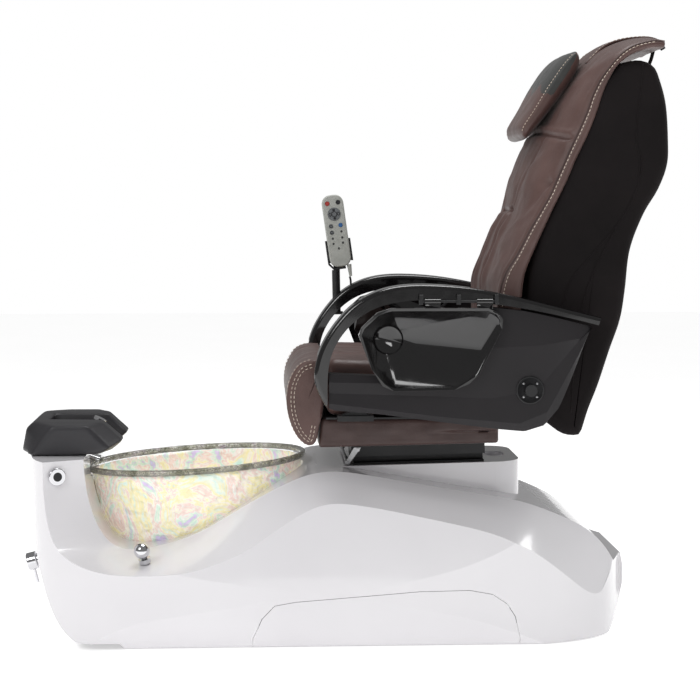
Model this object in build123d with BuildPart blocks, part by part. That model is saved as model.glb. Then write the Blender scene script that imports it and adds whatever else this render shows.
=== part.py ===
from build123d import *
import math
import os

# Pedicure spa chair: a glass foot bowl in a moulded base, and a massage seat that
# slides and reclines above it.  All sizes are in millimetres.
# +X points to the back of the chair (the sitter faces -X), -Y is the sitter's left,
# +Z is up, and the floor is Z = 0.

# ---------------------------------------------------------------- driving dimensions
WALL = 6.0                  # moulded base wall
BASE_FRONT = -697.0         # front of the tower
BASE_REAR = 664.0           # rear of the base
BASE_HALF_WIDTH = 372.0
SHELL_FLOOR_GAP = 3.0       # the moulding hangs this far above the floor
DECK_SLOPE = 1.3            # degrees, the seat deck rises to the rear
DECK_Z = 366.0              # deck height at X = 0
DECK_HALF_WIDTH = 138.0
DECK_FRONT = -50.0
DECK_REAR = 423.0
BOWL_X, BOWL_Z = -324.5, 366.5      # centre of the bowl's rim
BOWL_TILT = 3.4             # degrees, the rim rises to the rear
BOWL_HALF_LENGTH = 259.0
BOWL_SQUASH = 0.83          # bowl width over bowl length
BOWL_WALL = 8.0
BOWL_DEPTH = 176.0
RIM_R = 8.0
PIVOT_X, PIVOT_Z = 412.0, 558.0     # one axis for the recline and both arms
PIVOT_R = 8.0
RUNNING = 0.05              # radial clearance of a turning fit
ARM_INNER, ARM_OUTER = 267.0, 333.0         # armrest, distance from the centre plane
PANEL_INNER, PANEL_OUTER = 290.0, 330.0
PANEL_WALL = 4.0
TRAY_INNER, TRAY_OUTER = 335.0, 349.0
TRAY_AXIS_Y, TRAY_AXIS_Z = 342.0, 752.0
SEAT_HALF_WIDTH = 250.0
SKIRT_HALF_WIDTH = 235.0
BACK_HALF_WIDTH = 250.0
REMOTE_X, REMOTE_Y, REMOTE_Z = 16.0, 296.0, 896.0
REMOTE_LEAN = 8.0           # degrees, the handset's top leans forward
POST_X, POST_Y, POST_R = 17.0, 297.0, 10.0
CORD_HOLE_X, CORD_HOLE_Y = 57.0, 300.0
REMOTE_LENGTH, REMOTE_WIDTH, REMOTE_DEPTH = 180.0, 54.0, 22.0
VALVE_X, VALVE_Z = -672.0, 137.0
VALVE_DROP = 14.0           # degrees, the valve's axis points down and forward

os.makedirs("parts", exist_ok=True)


# ---------------------------------------------------------------- helpers
def side_plane(y=0.0):
    """The plane seen from the chair's left: local x is X, local y is Z."""
    return Plane(origin=(0, y, 0), x_dir=(1, 0, 0), z_dir=(0, -1, 0))


def tilted(x, y, z, degrees):
    """A horizontal plane at a point, turned so that its local x rises by degrees."""
    rise = math.radians(degrees)
    return Plane(
        origin=(x, y, z),
        x_dir=(math.cos(rise), 0, math.sin(rise)),
        z_dir=(-math.sin(rise), 0, math.cos(rise)),
    )


def along(x, y, z, direction):
    """A plane at a point whose normal is the given direction."""
    return Plane(origin=(x, y, z), z_dir=direction)


def curve_outline(points, corners):
    """A spline through points, closed by straight runs through corners."""
    with BuildLine() as path:
        Spline(*points)
        Polyline(points[-1], *corners, points[0])
    return path.line.edges()


def straight_outline(points):
    """Straight runs through points, back to the first."""
    with BuildLine() as path:
        Polyline(*points, points[0])
    return path.line.edges()


def save(part, name):
    part.label = name
    export_step(part, "parts/" + name + ".step")


# ---------------------------------------------------------------- base moulding
INNER_EDGE_Y = 225.0        # the bowl recess keeps one section inside this
OUTER_EDGE_Y = 400.0        # and opens out to the lower section here
RECESS_INNER = [
    (-567, 430), (-562, 345), (-545, 272), (-512, 216), (-464, 196), (-405, 203),
    (-345, 220), (-290, 245), (-235, 277), (-178, 310), (-120, 340), (-60, 362),
    (10, 366), (100, 352), (190, 336), (290, 319), (400, 299), (503, 262),
    (572, 222), (620, 160),
]
RECESS_OUTER = [
    (-900, 430), (-893, 335), (-830, 262), (-715, 205), (-560, 165), (-433, 156),
    (-340, 160), (-270, 175), (-205, 197), (-150, 225), (-100, 251), (-47, 272),
    (10, 277), (100, 268), (190, 253), (290, 234), (390, 196), (450, 125),
    (480, 50), (500, -20),
]
STEEP_POINTS = 4            # where both lines still come down the tower
PANEL_OUTLINE = [
    (-192, 0), (-192, 22), (-172, 68), (-145, 97), (-100, 105), (169, 125),
    (278, 126), (328, 116), (360, 94), (378, 66), (390, 15), (390, 0),
]


def base_hull(inset):
    """Plan, side and front outlines of the base together, each inset by the same."""
    with BuildPart() as hull:
        with BuildSketch(Plane.XY):
            with BuildLine():
                Spline(
                    (BASE_FRONT + inset, 0), (-690 + inset, -150), (-655 + inset, -262),
                    (-575, -338 + inset), (-400, -370 + inset), (-100, -374 + inset),
                    (200, -372 + inset), (390, -358 + inset), (520, -322 + inset),
                    (605 - inset, -250 + inset), (652 - inset, -130), (BASE_REAR - inset, 0),
                    tangents=[(0, -1), (0, 1)],
                )
                Line((BASE_REAR - inset, 0), (BASE_FRONT + inset, 0))
            make_face()
            mirror(about=Plane.XZ)
        extrude(amount=430)
        front_edge = [
            (-575 + inset, 14), (-612 + inset, 45), (-640 + inset, 95),
            (-664 + inset, 165), (-680 + inset, 234), (-692 + inset, 320),
            (BASE_FRONT + inset, 398 - inset),
        ]
        rest = [
            (-540, 398 - inset), (-540, 420), (540, 420), (600 - inset, 320),
            (640 - inset, 230), (BASE_REAR - inset, 110), (650 - inset, 45),
            (606 - inset, SHELL_FLOOR_GAP), (-470, SHELL_FLOOR_GAP), (-480, 14),
        ]
        with BuildSketch(side_plane()):
            make_face(curve_outline(front_edge, rest))
        extrude(amount=BASE_HALF_WIDTH + 20, both=True, mode=Mode.INTERSECT)
        flank = [
            (345 - inset, 0), (366 - inset, 50), (374 - inset, 120),
            (366 - inset, 200), (340 - inset, 290), (300 - inset, 400),
        ]
        with BuildSketch(Plane.YZ):
            make_face(curve_outline(flank, [(300 - inset, 440), (0, 440), (0, 0)]))
            mirror(about=Plane.YZ)
        extrude(amount=800, both=True, mode=Mode.INTERSECT)
    return hull.part


def lowered(points, drop):
    """The same line set deeper: into the tower where it is steep, and down elsewhere."""
    return [
        (x - (drop if i < STEEP_POINTS else 0), z - (drop if i >= STEEP_POINTS - 1 else 0))
        for i, (x, z) in enumerate(points)
    ]


def recess_face(points, y, left, right, low):
    """One end of the recess: an evenly paced spline, closed above it."""
    pace = [i / (len(points) - 1) for i in range(len(points))]
    with BuildSketch(side_plane(y)) as face:
        with BuildLine():
            add(Edge.make_spline([Vector(x, z) for x, z in points], parameters=pace))
            Polyline(points[-1], (right, low), (right, 700), (left, 700), points[0])
        make_face()
    return face.sketch


def recess(drop):
    """What is cut from the hull above the bowl recess and the sloping shoulders."""
    inner = lowered(RECESS_INNER, drop)
    outer = lowered(RECESS_OUTER, drop)
    sections = []
    for points, y in (
        (outer, OUTER_EDGE_Y), (inner, INNER_EDGE_Y),
        (inner, -INNER_EDGE_Y), (outer, -OUTER_EDGE_Y),
    ):
        sections.append(recess_face(points, y, points[0][0], 900, points[-1][1]))
    with BuildPart() as cut:
        loft(sections, ruled=True)
    return cut.part


def deck_block(inset):
    """The raised block that carries the seat, with a sloping top."""
    with BuildPart() as block:
        with BuildSketch(Plane.XY.offset(100)):
            with Locations(((DECK_FRONT + DECK_REAR) / 2, 0)):
                RectangleRounded(
                    DECK_REAR - DECK_FRONT - 2 * inset, 2 * (DECK_HALF_WIDTH - inset), 60
                )
        extrude(amount=300)
        with BuildSketch(tilted(0, 0, DECK_Z - inset, DECK_SLOPE)):
            Rectangle(1400, 800)
        extrude(amount=200, mode=Mode.SUBTRACT)
    return block.part


def bowl_ring(radius, low, high):
    """An oval disc in the bowl's frame, for what goes round its rim."""
    with BuildPart(Plane.XY) as ring:
        with BuildSketch(Plane.XY.offset(low)):
            Circle(radius)
        extrude(amount=high - low)
        scale(by=(1, BOWL_SQUASH, 1))
    return bowl_plane.location * ring.part


def bowl_body(grow, depth):
    """The bowl's outside below its rim bead, in the bowl's own tilted frame."""
    top = BOWL_HALF_LENGTH - 13 + grow
    with BuildPart(Plane.XY) as body:
        with BuildSketch(Plane.XZ):
            with BuildLine():
                FilletPolyline(
                    (top, 60), (top, -10), (top - 16, 40 - depth), (top - 70, -depth), (0, -depth),
                    radius=24,
                )
                Polyline((0, -depth), (0, 60), (top, 60))
            make_face()
        revolve(axis=Axis.Z)
        scale(by=(1, BOWL_SQUASH, 1))
    return bowl_plane.location * body.part


bowl_plane = tilted(BOWL_X, 0, BOWL_Z, BOWL_TILT)
deck_plane = tilted(0, 0, DECK_Z, DECK_SLOPE)
valve_direction = (
    -math.cos(math.radians(VALVE_DROP)), 0, -math.sin(math.radians(VALVE_DROP)),
)
valve_plane = Plane(origin=(VALVE_X, 0, VALVE_Z), x_dir=(0, 1, 0), z_dir=valve_direction)
JET_X, JET_Z = -566.0, 290.0        # middle of the pump jet, in the bowl's front wall
JET_R = 30.0
DRAIN_R = 22.0
SWITCH_X, SWITCH_Y, SWITCH_Z = -622.0, -257.0, 365.0
KNOB_X, KNOB_Y, KNOB_Z = -425.0, -308.0, 180.0
knob_direction = (-0.25, -0.25, 0.94)
switch_direction = (0.468, -0.884, 0)
SLOT_X0, SLOT_X1, SLOT_HALF = 352.0, 398.0, 42.0     # cable slot in the deck

outer_hull = base_hull(0)
inner_hull = base_hull(WALL)
rim_room = bowl_ring(BOWL_HALF_LENGTH + 5, -RIM_R - 5, 90)
rim_room_wall = bowl_ring(BOWL_HALF_LENGTH + 5 + WALL, -RIM_R - 5 - WALL, 90)
bowl_pocket = bowl_body(4, BOWL_DEPTH + 8)
bowl_pocket_wall = bowl_body(4 + WALL, BOWL_DEPTH + 8 + WALL)

with BuildPart() as moulding:
    add(outer_hull)
    add(recess(0), mode=Mode.SUBTRACT)
    add(deck_block(0))
    add(bowl_pocket, mode=Mode.SUBTRACT)
    add(rim_room, mode=Mode.SUBTRACT)

with BuildPart() as hollow:
    add(inner_hull)
    add(recess(WALL), mode=Mode.SUBTRACT)
    add(deck_block(WALL))
    with BuildSketch(Plane.XY.offset(-1)):
        Rectangle(1000, 620)
    extrude(amount=WALL + 20)
    add(bowl_pocket_wall, mode=Mode.SUBTRACT)
    add(rim_room_wall, mode=Mode.SUBTRACT)


def side_panel_prism(gap):
    """Everything outboard of the flanks that lies within the access panels' outline."""
    with BuildPart() as prism:
        with BuildSketch(side_plane(-BASE_HALF_WIDTH - 20)):
            make_face(straight_outline(PANEL_OUTLINE))
            offset(amount=gap, kind=Kind.INTERSECTION)
        extrude(amount=-(BASE_HALF_WIDTH + 20 - 300))
        mirror(about=Plane.XZ)
    return prism.part


with BuildPart() as base_shell:
    add(moulding.part)
    add(hollow.part, mode=Mode.SUBTRACT)
    add(side_panel_prism(1.2), mode=Mode.SUBTRACT)
    with BuildSketch(Plane(origin=(JET_X - 40, 0, JET_Z), z_dir=(1, 0, 0))):
        Circle(JET_R + 0.5)
    extrude(amount=60, mode=Mode.SUBTRACT)
    with BuildSketch(bowl_plane.offset(-BOWL_DEPTH - 40)):
        Circle(DRAIN_R + 0.5)
    extrude(amount=60, mode=Mode.SUBTRACT)
    with BuildSketch(deck_plane.offset(-40)):
        with Locations(((SLOT_X0 + SLOT_X1) / 2, 0)):
            SlotOverall(2 * SLOT_HALF, SLOT_X1 - SLOT_X0, rotation=90)
    extrude(amount=60, mode=Mode.SUBTRACT)
    with BuildSketch(along(SWITCH_X, SWITCH_Y, SWITCH_Z, switch_direction).offset(-40)):
        Circle(12.5)
    extrude(amount=60, mode=Mode.SUBTRACT)
    with BuildSketch(along(KNOB_X, KNOB_Y, KNOB_Z, knob_direction).offset(-50)):
        Circle(8.5)
    extrude(amount=100, mode=Mode.SUBTRACT)
    with BuildSketch(valve_plane.offset(-40)):
        Circle(14.5)
    extrude(amount=70, mode=Mode.SUBTRACT)
save(base_shell.part, "base_shell")

with BuildPart() as access_panels:
    add(moulding.part)
    add(hollow.part, mode=Mode.SUBTRACT)
    add(side_panel_prism(0), mode=Mode.INTERSECT)
save(access_panels.part, "access_panels")

# ---------------------------------------------------------------- inside the base
FRAME_LOW, FRAME_HIGH = 30.0, 60.0
FRAME_FRONT, FRAME_REAR = -440.0, 520.0
FRAME_HALF_WIDTH = 270.0
TUBE = 25.0
FOOT_X = (-420.0, 60.0, 500.0)
FOOT_Y = (-250.0, 250.0)
COLUMN_X = (60.0, 330.0)
COLUMN_Y = (-90.0, 90.0)
foot_points = [(x, y) for x in FOOT_X for y in FOOT_Y]

with BuildPart() as base_frame:
    with BuildSketch(Plane.XY.offset(FRAME_LOW)):
        with Locations(((FRAME_FRONT + FRAME_REAR) / 2, 0)):
            Rectangle(FRAME_REAR - FRAME_FRONT, 2 * FRAME_HALF_WIDTH)
            Rectangle(
                FRAME_REAR - FRAME_FRONT - 2 * TUBE, 2 * (FRAME_HALF_WIDTH - TUBE),
                mode=Mode.SUBTRACT,
            )
        with Locations(*[(x, 0) for x in COLUMN_X]):
            Rectangle(TUBE, 2 * FRAME_HALF_WIDTH)
    extrude(amount=FRAME_HIGH - FRAME_LOW)
    with BuildSketch(Plane.XY.offset(FRAME_HIGH)):
        with Locations(*[(x, y) for x in COLUMN_X for y in COLUMN_Y]):
            Rectangle(TUBE, TUBE)
            Rectangle(TUBE - 5, TUBE - 5, mode=Mode.SUBTRACT)
    extrude(amount=290)
save(base_frame.part, "base_frame")

with BuildPart() as levelling_feet:
    with BuildSketch(Plane.XY):
        with Locations(*foot_points):
            Circle(25)
    extrude(amount=10)
    with BuildSketch(Plane.XY.offset(10)):
        with Locations(*foot_points):
            Circle(6)
    extrude(amount=FRAME_LOW - 10)
save(levelling_feet.part, "levelling_feet")

# ---------------------------------------------------------------- glass bowl
with BuildPart() as rim_bead:
    with BuildSketch(Plane.XZ):
        with Locations((BOWL_HALF_LENGTH - RIM_R, 0)):
            Circle(RIM_R)
    revolve(axis=Axis.Z)
    scale(by=(1, BOWL_SQUASH, 1))

with BuildPart() as glass_bowl:
    add(bowl_body(0, BOWL_DEPTH))
    add(bowl_body(-BOWL_WALL, BOWL_DEPTH - BOWL_WALL), mode=Mode.SUBTRACT)
    with BuildSketch(bowl_plane):
        Rectangle(700, 700)
    extrude(amount=100, mode=Mode.SUBTRACT)
    add(bowl_plane.location * rim_bead.part)
    with BuildSketch(bowl_plane.offset(-BOWL_DEPTH - 10)):
        Circle(DRAIN_R + 0.5)
    extrude(amount=40, mode=Mode.SUBTRACT)
    with BuildSketch(Plane(origin=(JET_X - 10, 0, JET_Z), z_dir=(1, 0, 0))):
        Circle(JET_R + 0.5)
    extrude(amount=60, mode=Mode.SUBTRACT)
save(glass_bowl.part, "glass_bowl")

with BuildPart() as bowl_gasket:
    with BuildSketch(bowl_plane.offset(-BOWL_DEPTH - 8)):
        Circle(90)
        Circle(70, mode=Mode.SUBTRACT)
    extrude(amount=8)
save(bowl_gasket.part, "bowl_gasket")

with BuildPart() as drain_fitting:
    with BuildSketch(bowl_plane.offset(-BOWL_DEPTH + BOWL_WALL)):
        Circle(32)
    extrude(amount=4)
    with BuildSketch(bowl_plane.offset(-BOWL_DEPTH - 50)):
        Circle(DRAIN_R)
    extrude(amount=50 + BOWL_WALL)
    with BuildSketch(bowl_plane.offset(-BOWL_DEPTH - 60)):
        Circle(DRAIN_R - 5)
    extrude(amount=60 + BOWL_WALL, mode=Mode.SUBTRACT)
    with BuildSketch(bowl_plane.offset(-BOWL_DEPTH + 2)):
        with PolarLocations(9, 6):
            Circle(3.2)
        Circle(3.2)
    extrude(amount=40, mode=Mode.SUBTRACT)
save(drain_fitting.part, "drain_fitting")

DRAIN_OUTLET_X = -60.0
TRAP_R = 20.0
drain_low = bowl_plane.offset(-BOWL_DEPTH - 50)
with BuildPart() as drain_trap:
    with BuildLine():
        FilletPolyline(
            (drain_low.origin.X, 0, drain_low.origin.Z - 3), (drain_low.origin.X, 0, 96),
            (-210, 0, 96), (-210, 0, 140), (DRAIN_OUTLET_X, 0, 140), (DRAIN_OUTLET_X, 0, 8),
            radius=21,
        )
    with BuildSketch(Plane(origin=(drain_low.origin.X, 0, drain_low.origin.Z - 3), z_dir=(0, 0, -1))):
        Circle(TRAP_R)
    sweep()
save(drain_trap.part, "drain_trap")

# ---------------------------------------------------------------- pump jet
JET_BACK = -592.0
SHAFT_R = 4.0
jet_face = Plane(origin=(JET_BACK, 0, JET_Z), x_dir=(0, 1, 0), z_dir=(1, 0, 0))
with BuildPart() as jet_housing:
    with BuildSketch(jet_face):
        Circle(JET_R - 0.5)
    extrude(amount=60)
    with BuildSketch(jet_face.offset(54)):
        Circle(40)
    extrude(amount=6)
    with BuildSketch(jet_face.offset(6)):
        Circle(25)
    extrude(amount=54, mode=Mode.SUBTRACT)
    with BuildSketch(jet_face.offset(56)):
        Rectangle(56, 4)
        Rectangle(4, 56)
        Circle(28)
        Circle(24, mode=Mode.SUBTRACT)
    extrude(amount=4)
    with BuildSketch(jet_face):
        Circle(SHAFT_R + RUNNING)
    extrude(amount=6, mode=Mode.SUBTRACT)
save(jet_housing.part, "jet_housing")

with BuildPart() as jet_impeller:
    with BuildSketch(jet_face.offset(-12)):
        Circle(SHAFT_R)
    extrude(amount=50)
    with BuildSketch(jet_face.offset(16)):
        Circle(8)
        with PolarLocations(14, 4):
            Rectangle(17, 3)
    extrude(amount=20)
save(jet_impeller.part, "jet_impeller")

with BuildPart() as jet_motor:
    with BuildSketch(jet_face.offset(-74)):
        Circle(28)
    extrude(amount=72)
    with BuildSketch(jet_face.offset(-14)):
        Circle(SHAFT_R + RUNNING)
    extrude(amount=14, mode=Mode.SUBTRACT)
save(jet_motor.part, "jet_motor")

# ---------------------------------------------------------------- footrest
TOWER_TOP = 398.0
with BuildPart() as footrest_bracket:
    with BuildSketch(Plane.XY.offset(TOWER_TOP)):
        with Locations((-640, 0)):
            RectangleRounded(70, 220, 10)
            with GridLocations(40, 180, 2, 2):
                Circle(3.5, mode=Mode.SUBTRACT)
    extrude(amount=4)
save(footrest_bracket.part, "footrest_bracket")

REST_MIDDLE = [(-716, 402), (-706, 455), (-688, 470), (-535, 468), (-488, 425), (-515, 403)]
REST_SIDE = [(-690, 399), (-668, 430), (-640, 466), (-563, 466), (-512, 415), (-540, 401)]
with BuildPart() as footrest_pad:
    with BuildSketch(side_plane(-110)):
        make_face(straight_outline(REST_MIDDLE))
    extrude(amount=-220)
    for side in (-1, 1):
        with BuildSketch(side_plane(side * 110)):
            make_face(straight_outline(REST_MIDDLE))
        with BuildSketch(side_plane(side * 172)):
            make_face(straight_outline(REST_SIDE))
        loft(ruled=True)
    with BuildSketch(Plane(origin=(-655, 0, 505), z_dir=(1, 0, -0.12))):
        Ellipse(100, 62)
    extrude(amount=200, mode=Mode.SUBTRACT)
    with BuildSketch(Plane.XY.offset(390)):
        Rectangle(3000, 3000)
    extrude(amount=TOWER_TOP + 0.5 - 390, mode=Mode.SUBTRACT)
    with BuildSketch(Plane.XY.offset(TOWER_TOP)):
        with Locations((-640, 0)):
            RectangleRounded(71, 221, 10.5)
    extrude(amount=4.5, mode=Mode.SUBTRACT)
    with BuildSketch(along(-578, 0, 402, (0.5, 0, 1)).offset(-20)):
        Circle(15)
    extrude(amount=120, mode=Mode.SUBTRACT)
save(footrest_pad.part, "footrest_pad")

# ---------------------------------------------------------------- taps and controls
shower_plane = along(-578, 0, 402, (0.5, 0, 1))
with BuildPart() as shower_socket:
    with BuildSketch(shower_plane.offset(4)):
        Circle(14.5)
        Circle(9.3, mode=Mode.SUBTRACT)
    extrude(amount=26)
save(shower_socket.part, "shower_socket")

with BuildPart() as hand_shower:
    with BuildSketch(shower_plane.offset(6)):
        Circle(9)
    extrude(amount=42)
    with BuildSketch(shower_plane.offset(48)):
        Circle(9)
    with BuildSketch(shower_plane.offset(62)):
        Circle(15)
    loft()
    with BuildSketch(shower_plane.offset(62)):
        Circle(15)
    extrude(amount=7)
save(hand_shower.part, "hand_shower")

with BuildPart() as spout:
    with BuildSketch(Plane(origin=(-584, 0, 380), x_dir=(0, 1, 0), z_dir=(1, 0, -0.35))):
        RectangleRounded(44, 12, 5)
    extrude(amount=36)
    with BuildSketch(Plane(origin=(-586, 0, 378), x_dir=(0, 1, 0), z_dir=(1, 0, 0))):
        RectangleRounded(56, 24, 8)
    extrude(amount=4)
save(spout.part, "spout")

with BuildPart() as mixer_body:
    with BuildSketch(valve_plane.offset(-24)):
        Circle(14)
    extrude(amount=26)
    with BuildSketch(valve_plane.offset(4)):
        Circle(30)
    extrude(amount=4)
    with BuildSketch(valve_plane.offset(2)):
        Circle(16)
    extrude(amount=24)
    with BuildSketch(valve_plane.offset(20)):
        Circle(4.05)
    extrude(amount=6, mode=Mode.SUBTRACT)
save(mixer_body.part, "mixer_body")

with BuildPart() as mixer_handle:
    with BuildSketch(valve_plane.offset(27)):
        Circle(21)
    extrude(amount=24)
    fillet(edges().filter_by(GeomType.CIRCLE), 3)
    with BuildSketch(valve_plane.offset(21)):
        Circle(4)
    extrude(amount=8)
    with BuildSketch(Plane(valve_plane.offset(40).origin, z_dir=(0.25, 0, -1))):
        Circle(4)
    extrude(amount=52)
save(mixer_handle.part, "mixer_handle")

switch_plane = along(SWITCH_X, SWITCH_Y, SWITCH_Z, switch_direction)
with BuildPart() as air_switch_bezel:
    with BuildSketch(switch_plane.offset(1.5)):
        Circle(19.5)
        Circle(10.05, mode=Mode.SUBTRACT)
    extrude(amount=6)
    fillet(edges().filter_by(GeomType.CIRCLE).sort_by(SortBy.RADIUS)[-1:], 2)
    with BuildSketch(switch_plane.offset(-30)):
        Circle(12)
        Circle(10.05, mode=Mode.SUBTRACT)
    extrude(amount=32)
    with BuildSketch(switch_plane.offset(-34)):
        Circle(12)
    extrude(amount=4)
save(air_switch_bezel.part, "air_switch_bezel")

with BuildPart() as air_switch_button:
    with BuildSketch(switch_plane.offset(-22)):
        Circle(10)
    extrude(amount=30)
save(air_switch_button.part, "air_switch_button")

knob_plane = along(KNOB_X, KNOB_Y, KNOB_Z, knob_direction)
with BuildPart() as drain_knob_base:
    with BuildSketch(knob_plane.offset(-24)):
        Circle(8)
    extrude(amount=28)
    with BuildSketch(knob_plane.offset(4)):
        Circle(13)
    extrude(amount=9)
    with BuildSketch(knob_plane.offset(-10)):
        Circle(4.05)
    extrude(amount=30, mode=Mode.SUBTRACT)
save(drain_knob_base.part, "drain_knob_base")

with BuildPart() as drain_knob:
    with BuildSketch(knob_plane.offset(-8)):
        Circle(4)
    extrude(amount=26)
    with BuildSketch(knob_plane.offset(14)):
        Circle(7)
    extrude(amount=8)
    add(Location(knob_plane.offset(32).origin) * Sphere(17.5, mode=Mode.PRIVATE))
save(drain_knob.part, "drain_knob")

WATER_PIPE_R = 6.0
PIPE_Y = (-9.0, 9.0)
with BuildPart() as water_pipes:
    for y in PIPE_Y:
        with BuildLine():
            FilletPolyline(
                (-641, y, 144), (-600, y, 144), (-560, 4 * y, 100), (-520, 7 * y, 64),
                (-500, 8 * y, 4), radius=20,
            )
        with BuildSketch(Plane(origin=(-641, y, 144), z_dir=(1, 0, 0))):
            Circle(WATER_PIPE_R)
        sweep()
save(water_pipes.part, "water_pipes")

# ---------------------------------------------------------------- slide under the seat
RAIL_Y = 85.0
RAIL_X0, RAIL_X1 = 38.0, 338.0
RAIL_MIDDLE = (RAIL_X0 + RAIL_X1) / 2
RAIL_LENGTH = RAIL_X1 - RAIL_X0
SLIDE_GAP = 0.3
CARRIAGE_LOW, CARRIAGE_HIGH = 20.0, 52.0     # above the deck
LEVER_PIVOT = (48.0, 36.0)                   # along and above the deck
LEVER_R = 4.0

with BuildPart() as slide_rails:
    with BuildSketch(deck_plane):
        with Locations((RAIL_MIDDLE, 0)):
            Rectangle(RAIL_LENGTH, 240)
    extrude(amount=4)
    with BuildSketch(deck_plane.offset(4)):
        with Locations((RAIL_MIDDLE, -RAIL_Y), (RAIL_MIDDLE, RAIL_Y)):
            Rectangle(RAIL_LENGTH, 24)
    extrude(amount=26)
save(slide_rails.part, "slide_rails")

with BuildPart() as slide_carriage:
    with BuildSketch(deck_plane.offset(CARRIAGE_LOW)):
        with Locations((RAIL_MIDDLE - 2, 0)):
            Rectangle(RAIL_LENGTH + 6, 260)
            Rectangle(RAIL_LENGTH - 60, 110, mode=Mode.SUBTRACT)
    extrude(amount=CARRIAGE_HIGH - CARRIAGE_LOW)
    with BuildSketch(deck_plane.offset(CARRIAGE_LOW)):
        with Locations((RAIL_MIDDLE, -RAIL_Y), (RAIL_MIDDLE, RAIL_Y)):
            Rectangle(RAIL_LENGTH + 60, 24 + 2 * SLIDE_GAP)
    extrude(amount=10 + SLIDE_GAP, mode=Mode.SUBTRACT)
    with BuildSketch(Plane(deck_plane.from_local_coords((LEVER_PIVOT[0], 0, LEVER_PIVOT[1])), z_dir=(0, 1, 0))):
        Circle(LEVER_R + RUNNING)
    extrude(amount=140, both=True, mode=Mode.SUBTRACT)
save(slide_carriage.part, "slide_carriage")

lever_pivot = deck_plane.from_local_coords((LEVER_PIVOT[0], 0, LEVER_PIVOT[1]))
lever_tip = deck_plane.from_local_coords((22, 0, 8))
with BuildPart() as slide_lever:
    for side in (-1, 1):
        with BuildSketch(Plane(origin=(lever_pivot.X, side * 112, lever_pivot.Z), z_dir=(0, side, 0))):
            Circle(LEVER_R)
        extrude(amount=24)
        with BuildSketch(side_plane(side * 134)):
            make_face(straight_outline([
                (lever_pivot.X - 9, lever_pivot.Z + 5), (lever_pivot.X + 7, lever_pivot.Z + 5),
                (lever_tip.X + 5, lever_tip.Z - 4), (lever_tip.X - 5, lever_tip.Z - 4),
            ]))
        extrude(amount=-side * -4)
    with BuildSketch(Plane(origin=(lever_tip.X, -138, lever_tip.Z), z_dir=(0, 1, 0))):
        Circle(4)
    extrude(amount=276)
save(slide_lever.part, "slide_lever")

# ---------------------------------------------------------------- seat
SKIRT_LOW_X0, SKIRT_LOW_X1 = -46.0, 355.0
SKIRT_TOP = 497.0
PAN_LOW, PAN_HIGH = 488.0, 492.0
FRAME_PLATE_IN, FRAME_PLATE_OUT = 253.0, 259.0
skirt_side = [
    (SKIRT_LOW_X0, 422), (SKIRT_LOW_X1, 431), (SKIRT_LOW_X1 + 1, 486), (SKIRT_LOW_X0 + 10, 486),
]
with BuildPart() as seat_skirt:
    with BuildSketch(side_plane(-SKIRT_HALF_WIDTH)):
        make_face(straight_outline(skirt_side))
    extrude(amount=-2 * SKIRT_HALF_WIDTH)
    with BuildSketch(Plane.XY.offset(400)):
        with Locations(((SKIRT_LOW_X0 + SKIRT_LOW_X1) / 2, 0)):
            Rectangle(SKIRT_LOW_X1 - SKIRT_LOW_X0 - 36, 2 * SKIRT_HALF_WIDTH - 30)
    extrude(amount=200, mode=Mode.SUBTRACT)
save(seat_skirt.part, "seat_skirt")

with BuildPart() as seat_frame:
    with BuildSketch(deck_plane.offset(CARRIAGE_HIGH)):
        with Locations((80, 0), (290, 0)):
            Rectangle(40, 220)
    extrude(amount=90)
    with BuildSketch(Plane.XY.offset(PAN_LOW)):
        Rectangle(1000, 600)
    extrude(amount=90, mode=Mode.SUBTRACT)
    with BuildSketch(Plane.XY.offset(PAN_LOW)):
        with Locations((165, 0)):
            Rectangle(390, 2 * FRAME_PLATE_OUT)
    extrude(amount=PAN_HIGH - PAN_LOW)
    with BuildSketch(side_plane(-FRAME_PLATE_OUT)):
        make_face(straight_outline([
            (150, PAN_LOW), (372, PAN_LOW), (438, 545), (438, 580), (388, 588), (300, 520), (150, 505),
        ]))
    extrude(amount=-2 * FRAME_PLATE_OUT)
    with BuildSketch(Plane.XY.offset(PAN_HIGH)):
        with Locations((300, 0)):
            Rectangle(700, 2 * FRAME_PLATE_IN)
    extrude(amount=200, mode=Mode.SUBTRACT)
    with BuildSketch(Plane.XY.offset(PAN_LOW - 20)):
        with Locations((560, 0)):
            Rectangle(400, 2 * FRAME_PLATE_IN)
    extrude(amount=200, mode=Mode.SUBTRACT)
    with BuildSketch(Plane(origin=(PIVOT_X, -300, PIVOT_Z), z_dir=(0, 1, 0))):
        Circle(PIVOT_R)
    extrude(amount=600, mode=Mode.SUBTRACT)
save(seat_frame.part, "seat_frame")

CUSHION_X0, CUSHION_X1 = -28.0, 388.0
with BuildPart() as seat_cushion:
    with BuildSketch(side_plane(-SEAT_HALF_WIDTH)):
        make_face(straight_outline([
            (CUSHION_X0, 494), (CUSHION_X1 - 40, 494), (CUSHION_X1, 530), (CUSHION_X1, 590),
            (CUSHION_X1 - 20, 602), (60, 618), (CUSHION_X0, 618),
        ]))
    extrude(amount=-2 * SEAT_HALF_WIDTH)
save(seat_cushion.part, "seat_cushion")

with BuildPart() as seat_front_roll:
    with BuildSketch(side_plane(-SEAT_HALF_WIDTH)):
        make_face(curve_outline(
            [(-29, 616), (-60, 616), (-92, 602), (-112, 568), (-116, 531), (-109, 487), (-93, 450),
             (-74, 430), (-60, 430), (-52, 442)],
            [(-50, 500), (-38, 500), (-38, 493), (-29, 493)],
        ))
    extrude(amount=-2 * SEAT_HALF_WIDTH)
save(seat_front_roll.part, "seat_front_roll")

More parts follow.
